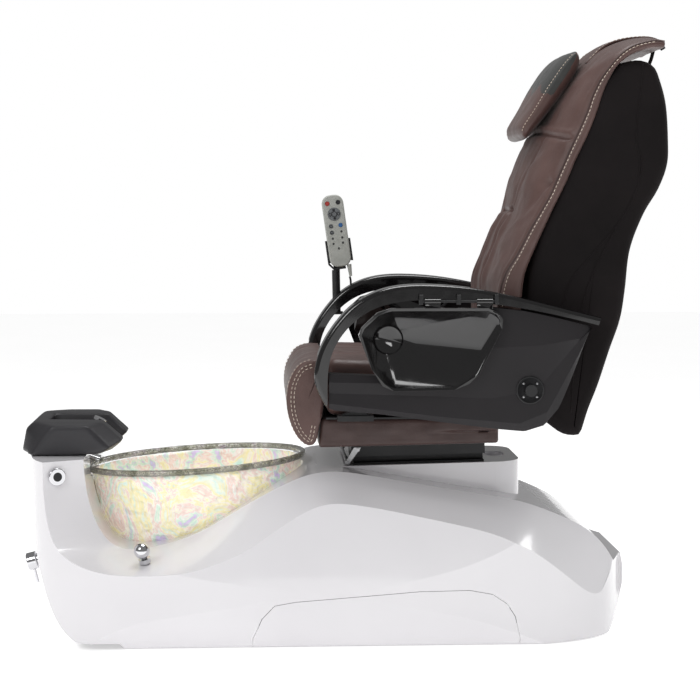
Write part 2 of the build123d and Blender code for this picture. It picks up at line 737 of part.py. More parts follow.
STOP_X0, STOP_X1 = -6.0, 73.0
STOP_LOW, STOP_HIGH = 493.0, 499.0
with BuildPart() as arm_stops:
    for side in (-1, 1):
        with BuildSketch(Plane.XY.offset(PAN_LOW)):
            with Locations(((STOP_X0 + STOP_X1) / 2, side * 280)):
                Rectangle(STOP_X1 - STOP_X0, 40)
        extrude(amount=12)
        with BuildSketch(side_plane(side * 295)):
            with BuildLine():
                ThreePointArc((1, 500), (34, 509.0), (67, 500))
                Line((67, 500), (1, 500))
            make_face()
        extrude(amount=side * 25)
save(arm_stops.part, "arm_stops")

with BuildPart() as control_box:
    with BuildSketch(Plane.XY.offset(PAN_LOW - 46)):
        with Locations((185, 0)):
            RectangleRounded(130, 180, 8)
    extrude(amount=46)
save(control_box.part, "control_box")

with BuildPart() as recline_motor:
    with BuildSketch(Plane.XY.offset(PAN_LOW - 46)):
        with Locations((20, 0)):
            RectangleRounded(60, 150, 12)
    extrude(amount=46)
save(recline_motor.part, "recline_motor")

DISC_R = 28.0
HEAD_IN, HEAD_OUT = 331.0, 346.0
with BuildPart() as pivot_bolts:
    for side in (-1, 1):
        bolt_plane = Plane(origin=(PIVOT_X, 0, PIVOT_Z), x_dir=(1, 0, 0), z_dir=(0, side, 0))
        with BuildSketch(bolt_plane.offset(236)):
            Circle(PIVOT_R)
        extrude(amount=HEAD_IN - 236)
        with BuildSketch(bolt_plane.offset(232)):
            Circle(13)
        extrude(amount=5)
        with BuildSketch(bolt_plane.offset(HEAD_IN)):
            Circle(13)
        extrude(amount=HEAD_OUT - HEAD_IN)
save(pivot_bolts.part, "pivot_bolts")

# ---------------------------------------------------------------- arms
ARM_FRONT = [
    (-30, 520), (-50, 556), (-58, 588), (-56, 610), (-48, 640), (-16, 698), (30, 747),
    (99, 780), (190, 788), (278, 781), (431, 750), (566, 716),
]
ARM_UNDERSIDE = [
    (560, 699), (400, 735), (279, 751), (192, 755), (118, 749), (60, 730), (13, 692),
    (-22, 631), (-28.5, 590), (-29, 540),
]
SIDE_PANEL = [
    (-26, 598), (95, 591), (160, 622), (250, 680), (322, 740), (400, 731), (480, 713.5),
    (546, 697), (530, 656), (498, 569), (477, 519), (444, 480), (401, 467), (346, 472),
    (237, 486), (84, 506.5), (-13, 515), (-26, 522),
]
TRAY_OUTLINE = [
    (37, 680), (44, 697), (78, 729), (108, 738), (318, 738), (340, 728), (349, 713),
    (347, 692), (298, 595), (276, 574), (244, 561), (114, 559), (89, 570), (65, 607),
]
CUP_X, CUP_Z, CUP_R = 101.0, 671.0, 33.0
KNUCKLES = (197.0, 310.0)           # middles of the tray's two hinge knuckles
KNUCKLE_HALF = 17.0
HINGE_R = 3.0


def make_armrest(side):
    with BuildPart() as armrest:
        with BuildSketch(side_plane(side * ARM_OUTER)):
            with BuildLine():
                Spline(*ARM_FRONT)
                Line(ARM_FRONT[-1], ARM_UNDERSIDE[0])
                Spline(*ARM_UNDERSIDE)
                Line(ARM_UNDERSIDE[-1], ARM_FRONT[0])
            make_face()
        extrude(amount=ARM_OUTER - ARM_INNER, dir=(0, -side, 0))
        fillet(armrest.edges().filter_by(GeomType.BSPLINE).group_by(SortBy.LENGTH)[-1], 9)
    return armrest.part


def make_side_panel(side):
    with BuildPart() as panel:
        with BuildSketch(side_plane(side * PANEL_OUTER)):
            make_face(straight_outline(SIDE_PANEL))
        extrude(amount=PANEL_OUTER - PANEL_INNER, dir=(0, -side, 0))
        with BuildSketch(side_plane(side * (PANEL_OUTER - PANEL_WALL))):
            make_face(straight_outline(SIDE_PANEL))
            offset(amount=-PANEL_WALL, kind=Kind.INTERSECTION)
        extrude(amount=PANEL_OUTER - PANEL_INNER, dir=(0, -side, 0), mode=Mode.SUBTRACT)
        with BuildSketch(Plane(origin=(PIVOT_X, side * 262, PIVOT_Z), z_dir=(0, side, 0))):
            Circle(34)
        extrude(amount=PANEL_OUTER - 262)
        with BuildSketch(Plane(origin=(PIVOT_X, side * 260, PIVOT_Z), z_dir=(0, side, 0))):
            Circle(PIVOT_R + RUNNING)
        extrude(amount=90, mode=Mode.SUBTRACT)
    return panel.part


def make_tray(side):
    with BuildPart() as tray:
        with BuildSketch(side_plane(side * TRAY_INNER)):
            make_face(straight_outline(TRAY_OUTLINE))
        extrude(amount=TRAY_OUTER - TRAY_INNER, dir=(0, side, 0))
        with BuildSketch(side_plane(side * (TRAY_OUTER - 5))):
            make_face(straight_outline(TRAY_OUTLINE))
            offset(amount=-6, kind=Kind.INTERSECTION)
        extrude(amount=10, dir=(0, side, 0), mode=Mode.SUBTRACT)
        with BuildSketch(side_plane(side * (TRAY_INNER + 3))):
            with Locations((CUP_X, CUP_Z)):
                Circle(CUP_R)
        extrude(amount=20, dir=(0, side, 0), mode=Mode.SUBTRACT)
        for x in KNUCKLES:
            with BuildSketch(Plane(origin=(x - KNUCKLE_HALF, side * TRAY_AXIS_Y, TRAY_AXIS_Z),
                                   x_dir=(0, 1, 0), z_dir=(1, 0, 0))):
                Circle(6)
                with Locations((0, -9)):
                    Rectangle(6, 14)
                Circle(HINGE_R + RUNNING, mode=Mode.SUBTRACT)
            extrude(amount=2 * KNUCKLE_HALF)
    return tray.part


def make_tray_hinge(side):
    """The pin the tray turns on, and the three ears that hold it to the armrest."""
    with BuildPart() as hinge:
        with BuildSketch(Plane(origin=(168, side * TRAY_AXIS_Y, TRAY_AXIS_Z),
                               x_dir=(0, 1, 0), z_dir=(1, 0, 0))):
            Circle(HINGE_R)
        extrude(amount=171)
        for x in (172.0, 253.5, 335.0):
            with BuildSketch(Plane.YZ.offset(x - 4)):
                with Locations((side * (ARM_OUTER + 8.2), TRAY_AXIS_Z + 4)):
                    RectangleRounded(15.5, 22, 3)
            extrude(amount=8)
    return hinge.part


save(make_armrest(-1), "armrest_left")
with BuildPart() as armrest_right:
    add(make_armrest(1))
    with BuildSketch(Plane.XY.offset(600)):
        with Locations((POST_X, POST_Y)):
            Circle(POST_R + 2)
        with Locations((CORD_HOLE_X, CORD_HOLE_Y)):
            Circle(5)
    extrude(amount=300, mode=Mode.SUBTRACT)
save(armrest_right.part, "armrest_right")
for side, name in ((-1, "left"), (1, "right")):
    save(make_side_panel(side), "side_panel_" + name)
    save(make_tray(side), "tray_" + name)
    save(make_tray_hinge(side), "tray_hinge_" + name)

# ---------------------------------------------------------------- back
COVER_SIDE = [
    (619, 1273), (663, 1278), (696, 1265), (712, 1234), (727, 1180), (733, 1103),
    (731, 1048), (711, 993), (679, 938), (650, 860), (640, 771), (630, 705), (608, 638),
    (582, 560), (560, 504), (545, 456), (534, 444), (507, 447), (484, 459), (462, 480),
]
COVER_FRONT = [(448, 520), (447, 596), (430, 640), (420, 770), (442, 880), (485, 985), (545, 1130), (580, 1225)]
CUSHION_FRONT = [
    (345, 640), (338, 777), (346, 815), (362, 857), (379, 902), (400, 936), (412, 1007),
    (440, 1081), (480, 1150), (507, 1200), (538, 1250), (565, 1285), (600, 1318),
    (660, 1332), (700, 1328), (706, 1308),
]
CUSHION_REAR = [(706, 1296), (660, 1283), (619, 1276), (578, 1227), (543, 1131), (483, 986), (440, 881),
                (418, 770), (428, 642)]
BACK_LEAN = math.radians(17.0)
back_direction = (math.sin(BACK_LEAN), 0, math.cos(BACK_LEAN))
back_section = Plane(origin=(PIVOT_X, 0, PIVOT_Z), x_dir=(0, 1, 0), z_dir=back_direction)

with BuildPart() as back_cushion:
    with BuildSketch(side_plane(-SEAT_HALF_WIDTH)):
        make_face(straight_outline(CUSHION_FRONT + CUSHION_REAR))
    extrude(amount=-2 * SEAT_HALF_WIDTH)
    with BuildSketch(back_section):
        with BuildLine():
            Spline(
                (-250, -60), (-248, 20), (-225, 70), (-140, 118), (0, 138), (140, 118), (225, 70),
                (248, 20), (250, -60),
            )
            Polyline((250, -60), (250, -260), (-250, -260), (-250, -60))
        make_face()
    extrude(amount=900, mode=Mode.INTERSECT)
save(back_cushion.part, "back_cushion")

with BuildPart() as back_cover:
    with BuildSketch(side_plane(-BACK_HALF_WIDTH)):
        make_face(straight_outline(COVER_SIDE + COVER_FRONT))
    extrude(amount=-2 * BACK_HALF_WIDTH)
    with BuildSketch(side_plane(-BACK_HALF_WIDTH + 5)):
        make_face(straight_outline(COVER_SIDE + COVER_FRONT))
        offset(amount=-5, kind=Kind.INTERSECTION)
    extrude(amount=-2 * (BACK_HALF_WIDTH - 5), mode=Mode.SUBTRACT)
    with BuildSketch(Plane(origin=(PIVOT_X + 20, 0, PIVOT_Z), x_dir=(0, 1, 0), z_dir=(1, 0, 0))):
        Rectangle(490, 70)
    extrude(amount=45, mode=Mode.SUBTRACT)
save(back_cover.part, "back_cover")

RAIL_LOW, RAIL_HIGH = 330.0, 620.0      # along the back, from the pivot
SCREW_R, SCREW_END_R = 8.0, 5.0
carriage_middle = 470.0
SCREW_OFF = 45.0                        # behind the section plane's origin
screw_plane = Plane(
    origin=back_section.from_local_coords((0, -SCREW_OFF, RAIL_LOW)), x_dir=(0, 1, 0), z_dir=back_direction,
)
UPRIGHT_Y = 215.0
UPRIGHT = [(468, 560), (560, 800), (672, 1190)]
with BuildPart() as back_frame:
    for side in (-1, 1):
        with BuildLine():
            FilletPolyline(*[(x, side * UPRIGHT_Y, z) for x, z in UPRIGHT], radius=150)
        with BuildSketch(Plane(origin=(468, side * UPRIGHT_Y, 560), z_dir=(92, 0, 240))):
            Circle(12)
        sweep()
    for x, z in ((499, 640), (589, 900), (663, 1160)):
        with BuildSketch(Plane(origin=(x, -UPRIGHT_Y, z), z_dir=(0, 1, 0))):
            Circle(10)
        extrude(amount=2 * UPRIGHT_Y)
    for side in (-1, 1):
        with BuildSketch(side_plane(side * 239)):
            make_face(straight_outline([(396, 540), (396, 578), (428, 580), (470, 576), (492, 570), (484, 536), (428, 538)]))
        extrude(amount=6, dir=(0, side, 0))
        with BuildSketch(Plane(origin=(478, side * 222, 556), z_dir=(0, side, 0))):
            Circle(10)
        extrude(amount=17)
        with BuildSketch(Plane(origin=(PIVOT_X, side * 230, PIVOT_Z), z_dir=(0, side, 0))):
            Circle(PIVOT_R + RUNNING)
        extrude(amount=20, mode=Mode.SUBTRACT)
    with BuildSketch(screw_plane):
        with Locations((-130, 0), (130, 0)):
            Rectangle(10, 20)
    extrude(amount=RAIL_HIGH - RAIL_LOW)
    for level in (-8, RAIL_HIGH - RAIL_LOW):
        with BuildSketch(screw_plane.offset(level)):
            Rectangle(2 * UPRIGHT_Y, 16)
        extrude(amount=8)
        with BuildSketch(screw_plane.offset(level)):
            Circle(SCREW_END_R + RUNNING)
        extrude(amount=8, mode=Mode.SUBTRACT)
    for level in (-6, RAIL_HIGH - RAIL_LOW + 2):
        for side in (-1, 1):
            with BuildSketch(screw_plane.offset(level)):
                with Locations((side * 205, -15)):
                    Rectangle(12, 40)
            extrude(amount=4)
save(back_frame.part, "back_frame")

pillow_plane = Plane(origin=(487, 0, 1206), x_dir=(0, 1, 0), z_dir=(-0.83, 0, 0.55))
PILLOW_OUTLINE = [
    (405, 1134), (403, 1158), (421, 1197), (447, 1243), (470, 1283), (486, 1299), (508, 1305),
    (514, 1298), (497, 1262), (467, 1222), (441, 1182), (425, 1146), (414, 1124),
]
with BuildPart() as head_pillow:
    with BuildSketch(side_plane(-135)):
        make_face(straight_outline(PILLOW_OUTLINE))
    extrude(amount=-270)
save(head_pillow.part, "head_pillow")

with BuildPart() as pillow_flap:
    with BuildSketch(side_plane(-110)):
        make_face(straight_outline([
            (606, 1324), (640, 1340), (690, 1346), (728, 1340), (744, 1322), (741, 1300), (737, 1300),
            (738, 1320), (726, 1334), (708, 1337), (690, 1340), (641, 1334), (608, 1321.5),
        ]))
    extrude(amount=-220)
save(pillow_flap.part, "pillow_flap")

with BuildPart() as lead_screw:
    with BuildSketch(screw_plane.offset(0.3)):
        Circle(SCREW_R)
    extrude(amount=RAIL_HIGH - RAIL_LOW - 0.6)
    with BuildSketch(screw_plane.offset(-8)):
        Circle(SCREW_END_R)
    extrude(amount=RAIL_HIGH - RAIL_LOW + 16)
save(lead_screw.part, "lead_screw")

nut_plane = screw_plane.offset(carriage_middle - RAIL_LOW - 20)
with BuildPart() as massage_carriage:
    with BuildSketch(nut_plane):
        Rectangle(244, 26)
        Circle(SCREW_R + RUNNING, mode=Mode.SUBTRACT)
        for side in (-1, 1):
            with Locations((side * 128, 0)):
                Rectangle(24, 26)
            with Locations((side * 130, 0)):
                Rectangle(10.4, 20.4, mode=Mode.SUBTRACT)
    extrude(amount=40)
    with BuildSketch(nut_plane.offset(10)):
        for side in (-1, 1):
            with Locations((side * 30, 28)):
                Rectangle(12, 32)
    extrude(amount=20)
    with BuildSketch(Plane(origin=nut_plane.from_local_coords((0, 36, 20)), z_dir=(0, 1, 0))):
        Circle(5 + RUNNING)
    extrude(amount=60, both=True, mode=Mode.SUBTRACT)
save(massage_carriage.part, "massage_carriage")

HEAD_FORWARD, HEAD_AXLE_R = 36.0, 5.0
head_axis = nut_plane.from_local_coords((0, HEAD_FORWARD, 20))
head_plane = Plane(origin=head_axis, x_dir=back_direction, z_dir=(0, 1, 0))
with BuildPart() as massage_heads:
    with BuildSketch(head_plane.offset(-80)):
        Circle(HEAD_AXLE_R)
    extrude(amount=160)
    for y in (-62, 62):
        with BuildSketch(head_plane.offset(y - 5)):
            SlotCenterToCenter(72, 16)
        extrude(amount=10)
        with BuildSketch(head_plane.offset(y - 12)):
            with Locations((-36, 0), (36, 0)):
                Circle(15)
        extrude(amount=24)
save(massage_heads.part, "massage_heads")

# ---------------------------------------------------------------- remote control
lean = math.radians(REMOTE_LEAN)
remote_plane = Plane(
    origin=(REMOTE_X, REMOTE_Y, REMOTE_Z), x_dir=(math.cos(lean), 0, math.sin(lean)), z_dir=(0, -1, 0),
)                                   # local x across, local y up the handset, z out of its face
HALF_LENGTH = REMOTE_LENGTH / 2
HALF_WIDTH = REMOTE_WIDTH / 2
HALF_DEPTH = REMOTE_DEPTH / 2
KEY_GAP = 0.4
KEYS = {                            # name: across, up, radius
    "power": (-13.5, 70, 5.5),
    "stop": (13.5, 70, 5.5),
    "pad": (0, 42, 16),
    "mode": (-12, 13, 5),
    "heat": (12, 13, 5),
    "zone": (-12, -3, 5),
}
KEY_FLOOR = 4.0

with BuildPart() as remote_housing:
    with BuildSketch(remote_plane.offset(-HALF_DEPTH)):
        RectangleRounded(REMOTE_WIDTH, REMOTE_LENGTH, 22)
    extrude(amount=REMOTE_DEPTH)
    fillet(edges().filter_by(Axis.Y, reverse=True).group_by(Axis.Y)[0], 4)
    fillet(edges().group_by(Axis.Y)[-1], 7)
    with BuildSketch(remote_plane.offset(KEY_FLOOR)):
        for across, up, radius in KEYS.values():
            with Locations((across, up)):
                Circle(radius + KEY_GAP)
    extrude(amount=HALF_DEPTH, mode=Mode.SUBTRACT)
    relief_top = remote_plane.from_local_coords((20, -HALF_LENGTH + 3, 0))
    relief_plane = Plane(origin=relief_top, z_dir=remote_plane.y_dir * -1)
    with BuildSketch(relief_plane):
        Circle(6)
    with BuildSketch(relief_plane.offset(30)):
        Circle(3.6)
    loft()
save(remote_housing.part, "remote_housing")

for name, (across, up, radius) in KEYS.items():
    with BuildPart() as key:
        with BuildSketch(remote_plane.offset(KEY_FLOOR + 1.3)):
            with Locations((across, up)):
                Circle(radius)
        extrude(amount=HALF_DEPTH + 1.2 - KEY_FLOOR - 1.3)
    save(key.part, "remote_key_" + name)

CRADLE_GAP = 0.5
with BuildPart() as remote_cradle:
    with BuildSketch(remote_plane.offset(-8)):
        for side in (-1, 1):
            with Locations((side * (HALF_WIDTH + CRADLE_GAP + 2), -50)):
                Rectangle(4, 56)
        with BuildLine():
            Polyline(
                (-HALF_WIDTH - 4.5, -24), (-HALF_WIDTH - 0.5, -24), (-HALF_WIDTH - 0.5, -79),
                (-18, -HALF_LENGTH - 0.8), (11, -HALF_LENGTH - 0.8), (11, -HALF_LENGTH - 6),
                (-20, -HALF_LENGTH - 6), (-HALF_WIDTH - 4.5, -82), (-HALF_WIDTH - 4.5, -24),
            )
        make_face()
    extrude(amount=16)
    with BuildSketch(remote_plane.offset(-HALF_DEPTH - CRADLE_GAP - 3)):
        with Locations((0, -50)):
            Rectangle(REMOTE_WIDTH + 9, 56)
        with Locations((-4, -HALF_LENGTH + 5)):
            Rectangle(30, 22)
    extrude(amount=3)
    with BuildSketch(remote_plane.offset(-HALF_DEPTH - CRADLE_GAP - 3)):
        for side in (-1, 1):
            with Locations((side * (HALF_WIDTH + CRADLE_GAP + 2), -50)):
                Rectangle(4, 56)
        with Locations((-4, -HALF_LENGTH - 3.4)):
            Rectangle(30, 5.2)
    extrude(amount=20)
save(remote_cradle.part, "remote_cradle")

post_plane = Plane(origin=(POST_X, POST_Y, 694), z_dir=(-0.02, 0, 1))
with BuildPart() as remote_post:
    with BuildSketch(post_plane):
        Circle(POST_R)
    extrude(amount=112)
    add(remote_cradle.part, mode=Mode.SUBTRACT)
    with BuildSketch(remote_plane.offset(-30)):
        with Locations((0, 0)):
            Rectangle(200, 2 * HALF_LENGTH + 11.9)
    extrude(amount=60, mode=Mode.SUBTRACT)
    with BuildSketch(post_plane.offset(-6)):
        RectangleRounded(30, 40, 5)
    extrude(amount=6)
    add(armrest_right.part, mode=Mode.SUBTRACT)
save(remote_post.part, "remote_post")

cord_top = relief_plane.offset(30.5).origin
CORD_R = 2.6
CORD_BEND = 14.0
CORD_ROUTE = [
    (cord_top.X, cord_top.Y, cord_top.Z), (cord_top.X + 2.5, cord_top.Y + 1, cord_top.Z - 8),
    (cord_top.X + 2.5, cord_top.Y + 3, cord_top.Z - 17), (cord_top.X + 3.5, cord_top.Y + 4, 752),
]
with BuildPart() as remote_cord:
    with BuildLine() as cord_line:
        FilletPolyline(*CORD_ROUTE, radius=CORD_BEND)
    with BuildSketch(Plane(origin=cord_line.line @ 0, z_dir=cord_line.line % 0)):
        Circle(CORD_R)
    sweep()
cord_length = sum(edge.length for edge in cord_line.line.edges())
print("cord length", cord_length, "tube volume", remote_cord.part.volume,
      "section x length", math.pi * CORD_R ** 2 * cord_length, "bend radius", CORD_BEND)
save(remote_cord.part, "remote_cord")
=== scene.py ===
import math

import bmesh
import bpy
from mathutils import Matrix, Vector, noise


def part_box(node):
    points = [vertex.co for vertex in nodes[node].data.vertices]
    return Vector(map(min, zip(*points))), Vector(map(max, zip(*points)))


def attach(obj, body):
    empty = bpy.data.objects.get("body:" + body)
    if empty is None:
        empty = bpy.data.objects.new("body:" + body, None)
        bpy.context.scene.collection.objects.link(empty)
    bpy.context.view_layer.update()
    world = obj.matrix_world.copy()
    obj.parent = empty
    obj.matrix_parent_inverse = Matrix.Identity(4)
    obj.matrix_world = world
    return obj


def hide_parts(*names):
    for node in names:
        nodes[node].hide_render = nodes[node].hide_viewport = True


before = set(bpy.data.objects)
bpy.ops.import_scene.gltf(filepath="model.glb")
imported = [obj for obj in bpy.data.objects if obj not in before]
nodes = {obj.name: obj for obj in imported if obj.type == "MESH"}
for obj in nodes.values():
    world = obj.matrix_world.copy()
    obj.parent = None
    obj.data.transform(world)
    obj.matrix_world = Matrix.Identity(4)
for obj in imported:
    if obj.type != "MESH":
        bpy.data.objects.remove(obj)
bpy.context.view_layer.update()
MM = 0.001               # outlines below are in millimetres, in the frame of the CAD parts


# ---------------------------------------------------------------- camera
camera_data = bpy.data.cameras.new("camera")
camera = bpy.data.objects.new("camera", camera_data)
bpy.context.scene.collection.objects.link(camera)
camera.location = (-0.168, -4.150, 0.953)
camera.rotation_euler = (math.radians(90 - 4.57), 0, math.radians(-2.81))
camera_data.lens = 91.4
camera_data.sensor_width = 36
bpy.context.scene.camera = camera


# ---------------------------------------------------------------- cord
def make_cord(route, radius):
    """The handset's short cord: it leaves the handset and goes into the armrest."""
    curve = bpy.data.curves.new("handset_cord", "CURVE")
    curve.dimensions = "3D"
    spline = curve.splines.new("NURBS")
    spline.points.add(len(route) - 1)
    for point, place_at in zip(spline.points, route):
        point.co = (*place_at, 1)
    spline.order_u = 3
    spline.use_endpoint_u = True
    curve.bevel_depth = radius
    curve.bevel_resolution = 6
    curve.use_fill_caps = True
    cord = bpy.data.objects.new("handset_cord", curve)
    bpy.context.scene.collection.objects.link(cord)
    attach(cord, "arm_right")
    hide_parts("remote_cord")
    return cord


CORD_TOP = Vector((0.04968, 0.296, 0.78165))
CORD_RADIUS = 0.00255
CORD_ROUTE = [
    CORD_TOP, CORD_TOP + Vector((0.0025, 0.001, -0.008)), CORD_TOP + Vector((0.0025, 0.003, -0.017)),
    Vector((CORD_TOP.x + 0.0035, CORD_TOP.y + 0.004, 0.752)),
]
cord = make_cord(CORD_ROUTE, CORD_RADIUS)


# ---------------------------------------------------------------- materials
def new_material(name, color, roughness, **settings):
    """A Principled material; settings are names of the shader's own sockets."""
    material = bpy.data.materials.new(name)
    material.use_nodes = True
    shader = material.node_tree.nodes["Principled BSDF"]
    shader.inputs["Base Color"].default_value = (*color, 1)
    shader.inputs["Roughness"].default_value = roughness
    for key, value in settings.items():
        shader.inputs[key.replace("_", " ")].default_value = value
    return material


def object_noise(material, scale, detail=3.0, kind="ShaderNodeTexNoise"):
    """A texture fixed to the object."""
    tree = material.node_tree
    place = tree.nodes.new("ShaderNodeTexCoord")
    texture = tree.nodes.new(kind)
    texture.inputs["Scale"].default_value = scale
    if kind == "ShaderNodeTexNoise":
        texture.inputs["Detail"].default_value = detail
    tree.links.new(place.outputs["Object"], texture.inputs["Vector"])
    return texture


def ramp(material, source, stops):
    node = material.node_tree.nodes.new("ShaderNodeValToRGB")
    node.color_ramp.elements[0].position, node.color_ramp.elements[0].color = stops[0][0], (*stops[0][1], 1)
    node.color_ramp.elements[1].position, node.color_ramp.elements[1].color = stops[-1][0], (*stops[-1][1], 1)
    for place, color in stops[1:-1]:
        node.color_ramp.elements.new(place).color = (*color, 1)
    material.node_tree.links.new(source, node.inputs["Fac"])
    return node


def vary(material, scale, stops, target="Base Color", detail=4.0):
    """Drives one socket of the shader from soft noise."""
    texture = object_noise(material, scale, detail)
    colors = ramp(material, texture.outputs["Fac"], stops)
    shader = material.node_tree.nodes["Principled BSDF"]
    material.node_tree.links.new(colors.outputs["Color"], shader.inputs[target])


def bump(material, layers):
    """Stacks bump layers: (texture kind, scale, strength, distance in metres)."""
    tree = material.node_tree
    last = None
    for kind, scale, strength, distance in layers:
        texture = object_noise(material, scale, 4.0, kind)
        output = texture.outputs["Distance" if kind == "ShaderNodeTexVoronoi" else "Fac"]
        node = tree.nodes.new("ShaderNodeBump")
        node.inputs["Strength"].default_value = strength
        node.inputs["Distance"].default_value = distance
        tree.links.new(output, node.inputs["Height"])
        if last:
            tree.links.new(last.outputs["Normal"], node.inputs["Normal"])
        last = node
    tree.links.new(last.outputs["Normal"], tree.nodes["Principled BSDF"].inputs["Normal"])


NOISE, VORONOI = "ShaderNodeTexNoise", "ShaderNodeTexVoronoi"


def leather(name, dark, light):
    material = new_material(name, light, 0.42, Specular_IOR_Level=0.5, Sheen_Weight=0.12, Sheen_Roughness=0.4)
    vary(material, 14.0, [(0.3, dark), (0.7, light)])
    vary(material, 30.0, [(0.3, (0.36,) * 3), (0.7, (0.52,) * 3)], "Roughness")
    bump(material, [
        (NOISE, 26.0, 0.35, 0.004), (VORONOI, 620.0, 0.22, 0.0006), (NOISE, 1500.0, 0.12, 0.0003),
    ])
    return material


brown = leather("brown_leather", (0.083, 0.044, 0.038), (0.112, 0.062, 0.054))
brown_dark = leather("brown_leather_dark", (0.046, 0.023, 0.020), (0.062, 0.032, 0.028))
grey_leather = leather("grey_leather", (0.036, 0.037, 0.036), (0.055, 0.056, 0.054))
thread = new_material("cream_thread", (0.62, 0.52, 0.42), 0.75)
vary(thread, 300.0, [(0.3, (0.50, 0.41, 0.33)), (0.7, (0.72, 0.62, 0.52))])
bump(thread, [(NOISE, 2200.0, 0.6, 0.0003)])

knit = new_material("black_knit", (0.008, 0.006, 0.0065), 0.85, Sheen_Weight=0.06, Sheen_Roughness=0.5,
                    Specular_IOR_Level=0.22)
knit.node_tree.nodes["Principled BSDF"].inputs["Sheen Tint"].default_value = (0.35, 0.28, 0.28, 1)
vary(knit, 7.0, [(0.3, (0.005, 0.0036, 0.0038)), (0.75, (0.010, 0.0072, 0.0076))])
bump(knit, [(NOISE, 9.0, 0.3, 0.006), (VORONOI, 900.0, 0.35, 0.0005)])

gel_coat = new_material("white_gel_coat", (0.76, 0.745, 0.765), 0.16, Coat_Weight=0.6, Coat_Roughness=0.04)
vary(gel_coat, 3.0, [(0.3, (0.73, 0.715, 0.738)), (0.7, (0.775, 0.762, 0.782))])
bump(gel_coat, [(NOISE, 6.0, 0.05, 0.003)])

piano = new_material("piano_black", (0.004, 0.0035, 0.0038), 0.09, Coat_Weight=0.8, Coat_Roughness=0.03)
vary(piano, 40.0, [(0.35, (0.07,) * 3), (0.7, (0.13,) * 3)], "Roughness")
bump(piano, [(NOISE, 12.0, 0.04, 0.002)])

charcoal = new_material("charcoal_panel", (0.022, 0.0195, 0.022), 0.52, Specular_IOR_Level=0.35)
vary(charcoal, 5.0, [(0.3, (0.012, 0.0102, 0.0118)), (0.7, (0.017, 0.0148, 0.0166))])
bump(charcoal, [(NOISE, 1800.0, 0.20, 0.0003)])

footrest_black = new_material("footrest_skin", (0.024, 0.023, 0.026), 0.38)
vary(footrest_black, 9.0, [(0.3, (0.019, 0.018, 0.021)), (0.7, (0.031, 0.030, 0.034))])
bump(footrest_black, [(VORONOI, 700.0, 0.18, 0.0005), (NOISE, 30.0, 0.15, 0.002)])

chrome = new_material("chrome", (0.72, 0.72, 0.74), 0.06, Metallic=1.0)
vary(chrome, 60.0, [(0.3, (0.05,) * 3), (0.7, (0.11,) * 3)], "Roughness")
bump(chrome, [(NOISE, 40.0, 0.03, 0.0006)])

steel = new_material("zinc_steel", (0.46, 0.46, 0.47), 0.33, Metallic=1.0)
vary(steel, 90.0, [(0.3, (0.26,) * 3), (0.7, (0.42,) * 3)], "Roughness")
bump(steel, [(NOISE, 500.0, 0.08, 0.0003)])

powder = new_material("black_powder_coat", (0.010, 0.010, 0.011), 0.48)
vary(powder, 20.0, [(0.3, (0.008, 0.008, 0.009)), (0.7, (0.015, 0.015, 0.016))])
bump(powder, [(NOISE, 1400.0, 0.30, 0.0003)])

rubber = new_material("black_rubber", (0.012, 0.012, 0.013), 0.62)
vary(rubber, 50.0, [(0.3, (0.009, 0.009, 0.010)), (0.7, (0.018, 0.018, 0.019))])
bump(rubber, [(NOISE, 900.0, 0.3, 0.0003)])

grey_pipe = new_material("grey_pipe", (0.36, 0.36, 0.35), 0.45)
vary(grey_pipe, 25.0, [(0.3, (0.32, 0.32, 0.31)), (0.7, (0.41, 0.41, 0.40))])
bump(grey_pipe, [(NOISE, 600.0, 0.1, 0.0003)])

silver_plastic = new_material("handset_silver", (0.40, 0.41, 0.38), 0.36)
vary(silver_plastic, 60.0, [(0.3, (0.36, 0.37, 0.34)), (0.7, (0.45, 0.46, 0.43))])
bump(silver_plastic, [(NOISE, 1600.0, 0.12, 0.0002)])


def key_rubber(name, color):
    material = new_material(name, color, 0.5)
    vary(material, 200.0, [(0.3, tuple(0.85 * c for c in color)), (0.7, color)])
    bump(material, [(NOISE, 1500.0, 0.15, 0.0002)])
    return material


key_red = key_rubber("key_red", (0.42, 0.035, 0.025))
key_dark = key_rubber("key_dark", (0.020, 0.020, 0.024))
key_grey = key_rubber("key_grey", (0.16, 0.17, 0.18))
key_blue = key_rubber("key_blue", (0.03, 0.13, 0.36))


def pearl_glass_painted_glow():
    """Hammered glass with a mother-of-pearl coat: pastel bands that follow the hammering. The same bands also
    glow faintly, a painted glow.
    """
    # Emission_Strength paints a faint glow into the glass, which is no lamp.
    material = new_material(
        "pearl_glass_painted_glow", (0.9, 0.9, 0.85), 0.07, IOR=1.5, Transmission_Weight=0.15,
        Emission_Strength=0.22, Coat_Weight=1.0, Coat_Roughness=0.03, Thin_Film_Thickness=420.0,
        Thin_Film_IOR=1.45,
    )
    tree = material.node_tree
    flow = object_noise(material, 8.5, 7.0)
    flow.inputs["Distortion"].default_value = 2.6
    flow.inputs["Roughness"].default_value = 0.62
    colors = ramp(material, flow.outputs["Fac"], [
        (0.28, (0.55, 0.84, 0.80)), (0.36, (0.84, 0.92, 0.84)), (0.42, (0.95, 0.86, 0.48)),
        (0.47, (0.96, 0.94, 0.86)), (0.51, (0.90, 0.68, 0.62)), (0.55, (0.94, 0.92, 0.88)),
        (0.60, (0.66, 0.88, 0.72)), (0.65, (0.74, 0.58, 0.86)), (0.74, (0.62, 0.74, 0.92)),
    ])
    # The pastel bands also feed the emission colour: painted glow on top of the glass's own colours.
    for socket in ("Base Color", "Emission Color"):
        tree.links.new(colors.outputs["Color"], tree.nodes["Principled BSDF"].inputs[socket])
    bump(material, [(NOISE, 30.0, 0.95, 0.016), (VORONOI, 62.0, 0.55, 0.010)])
    return material


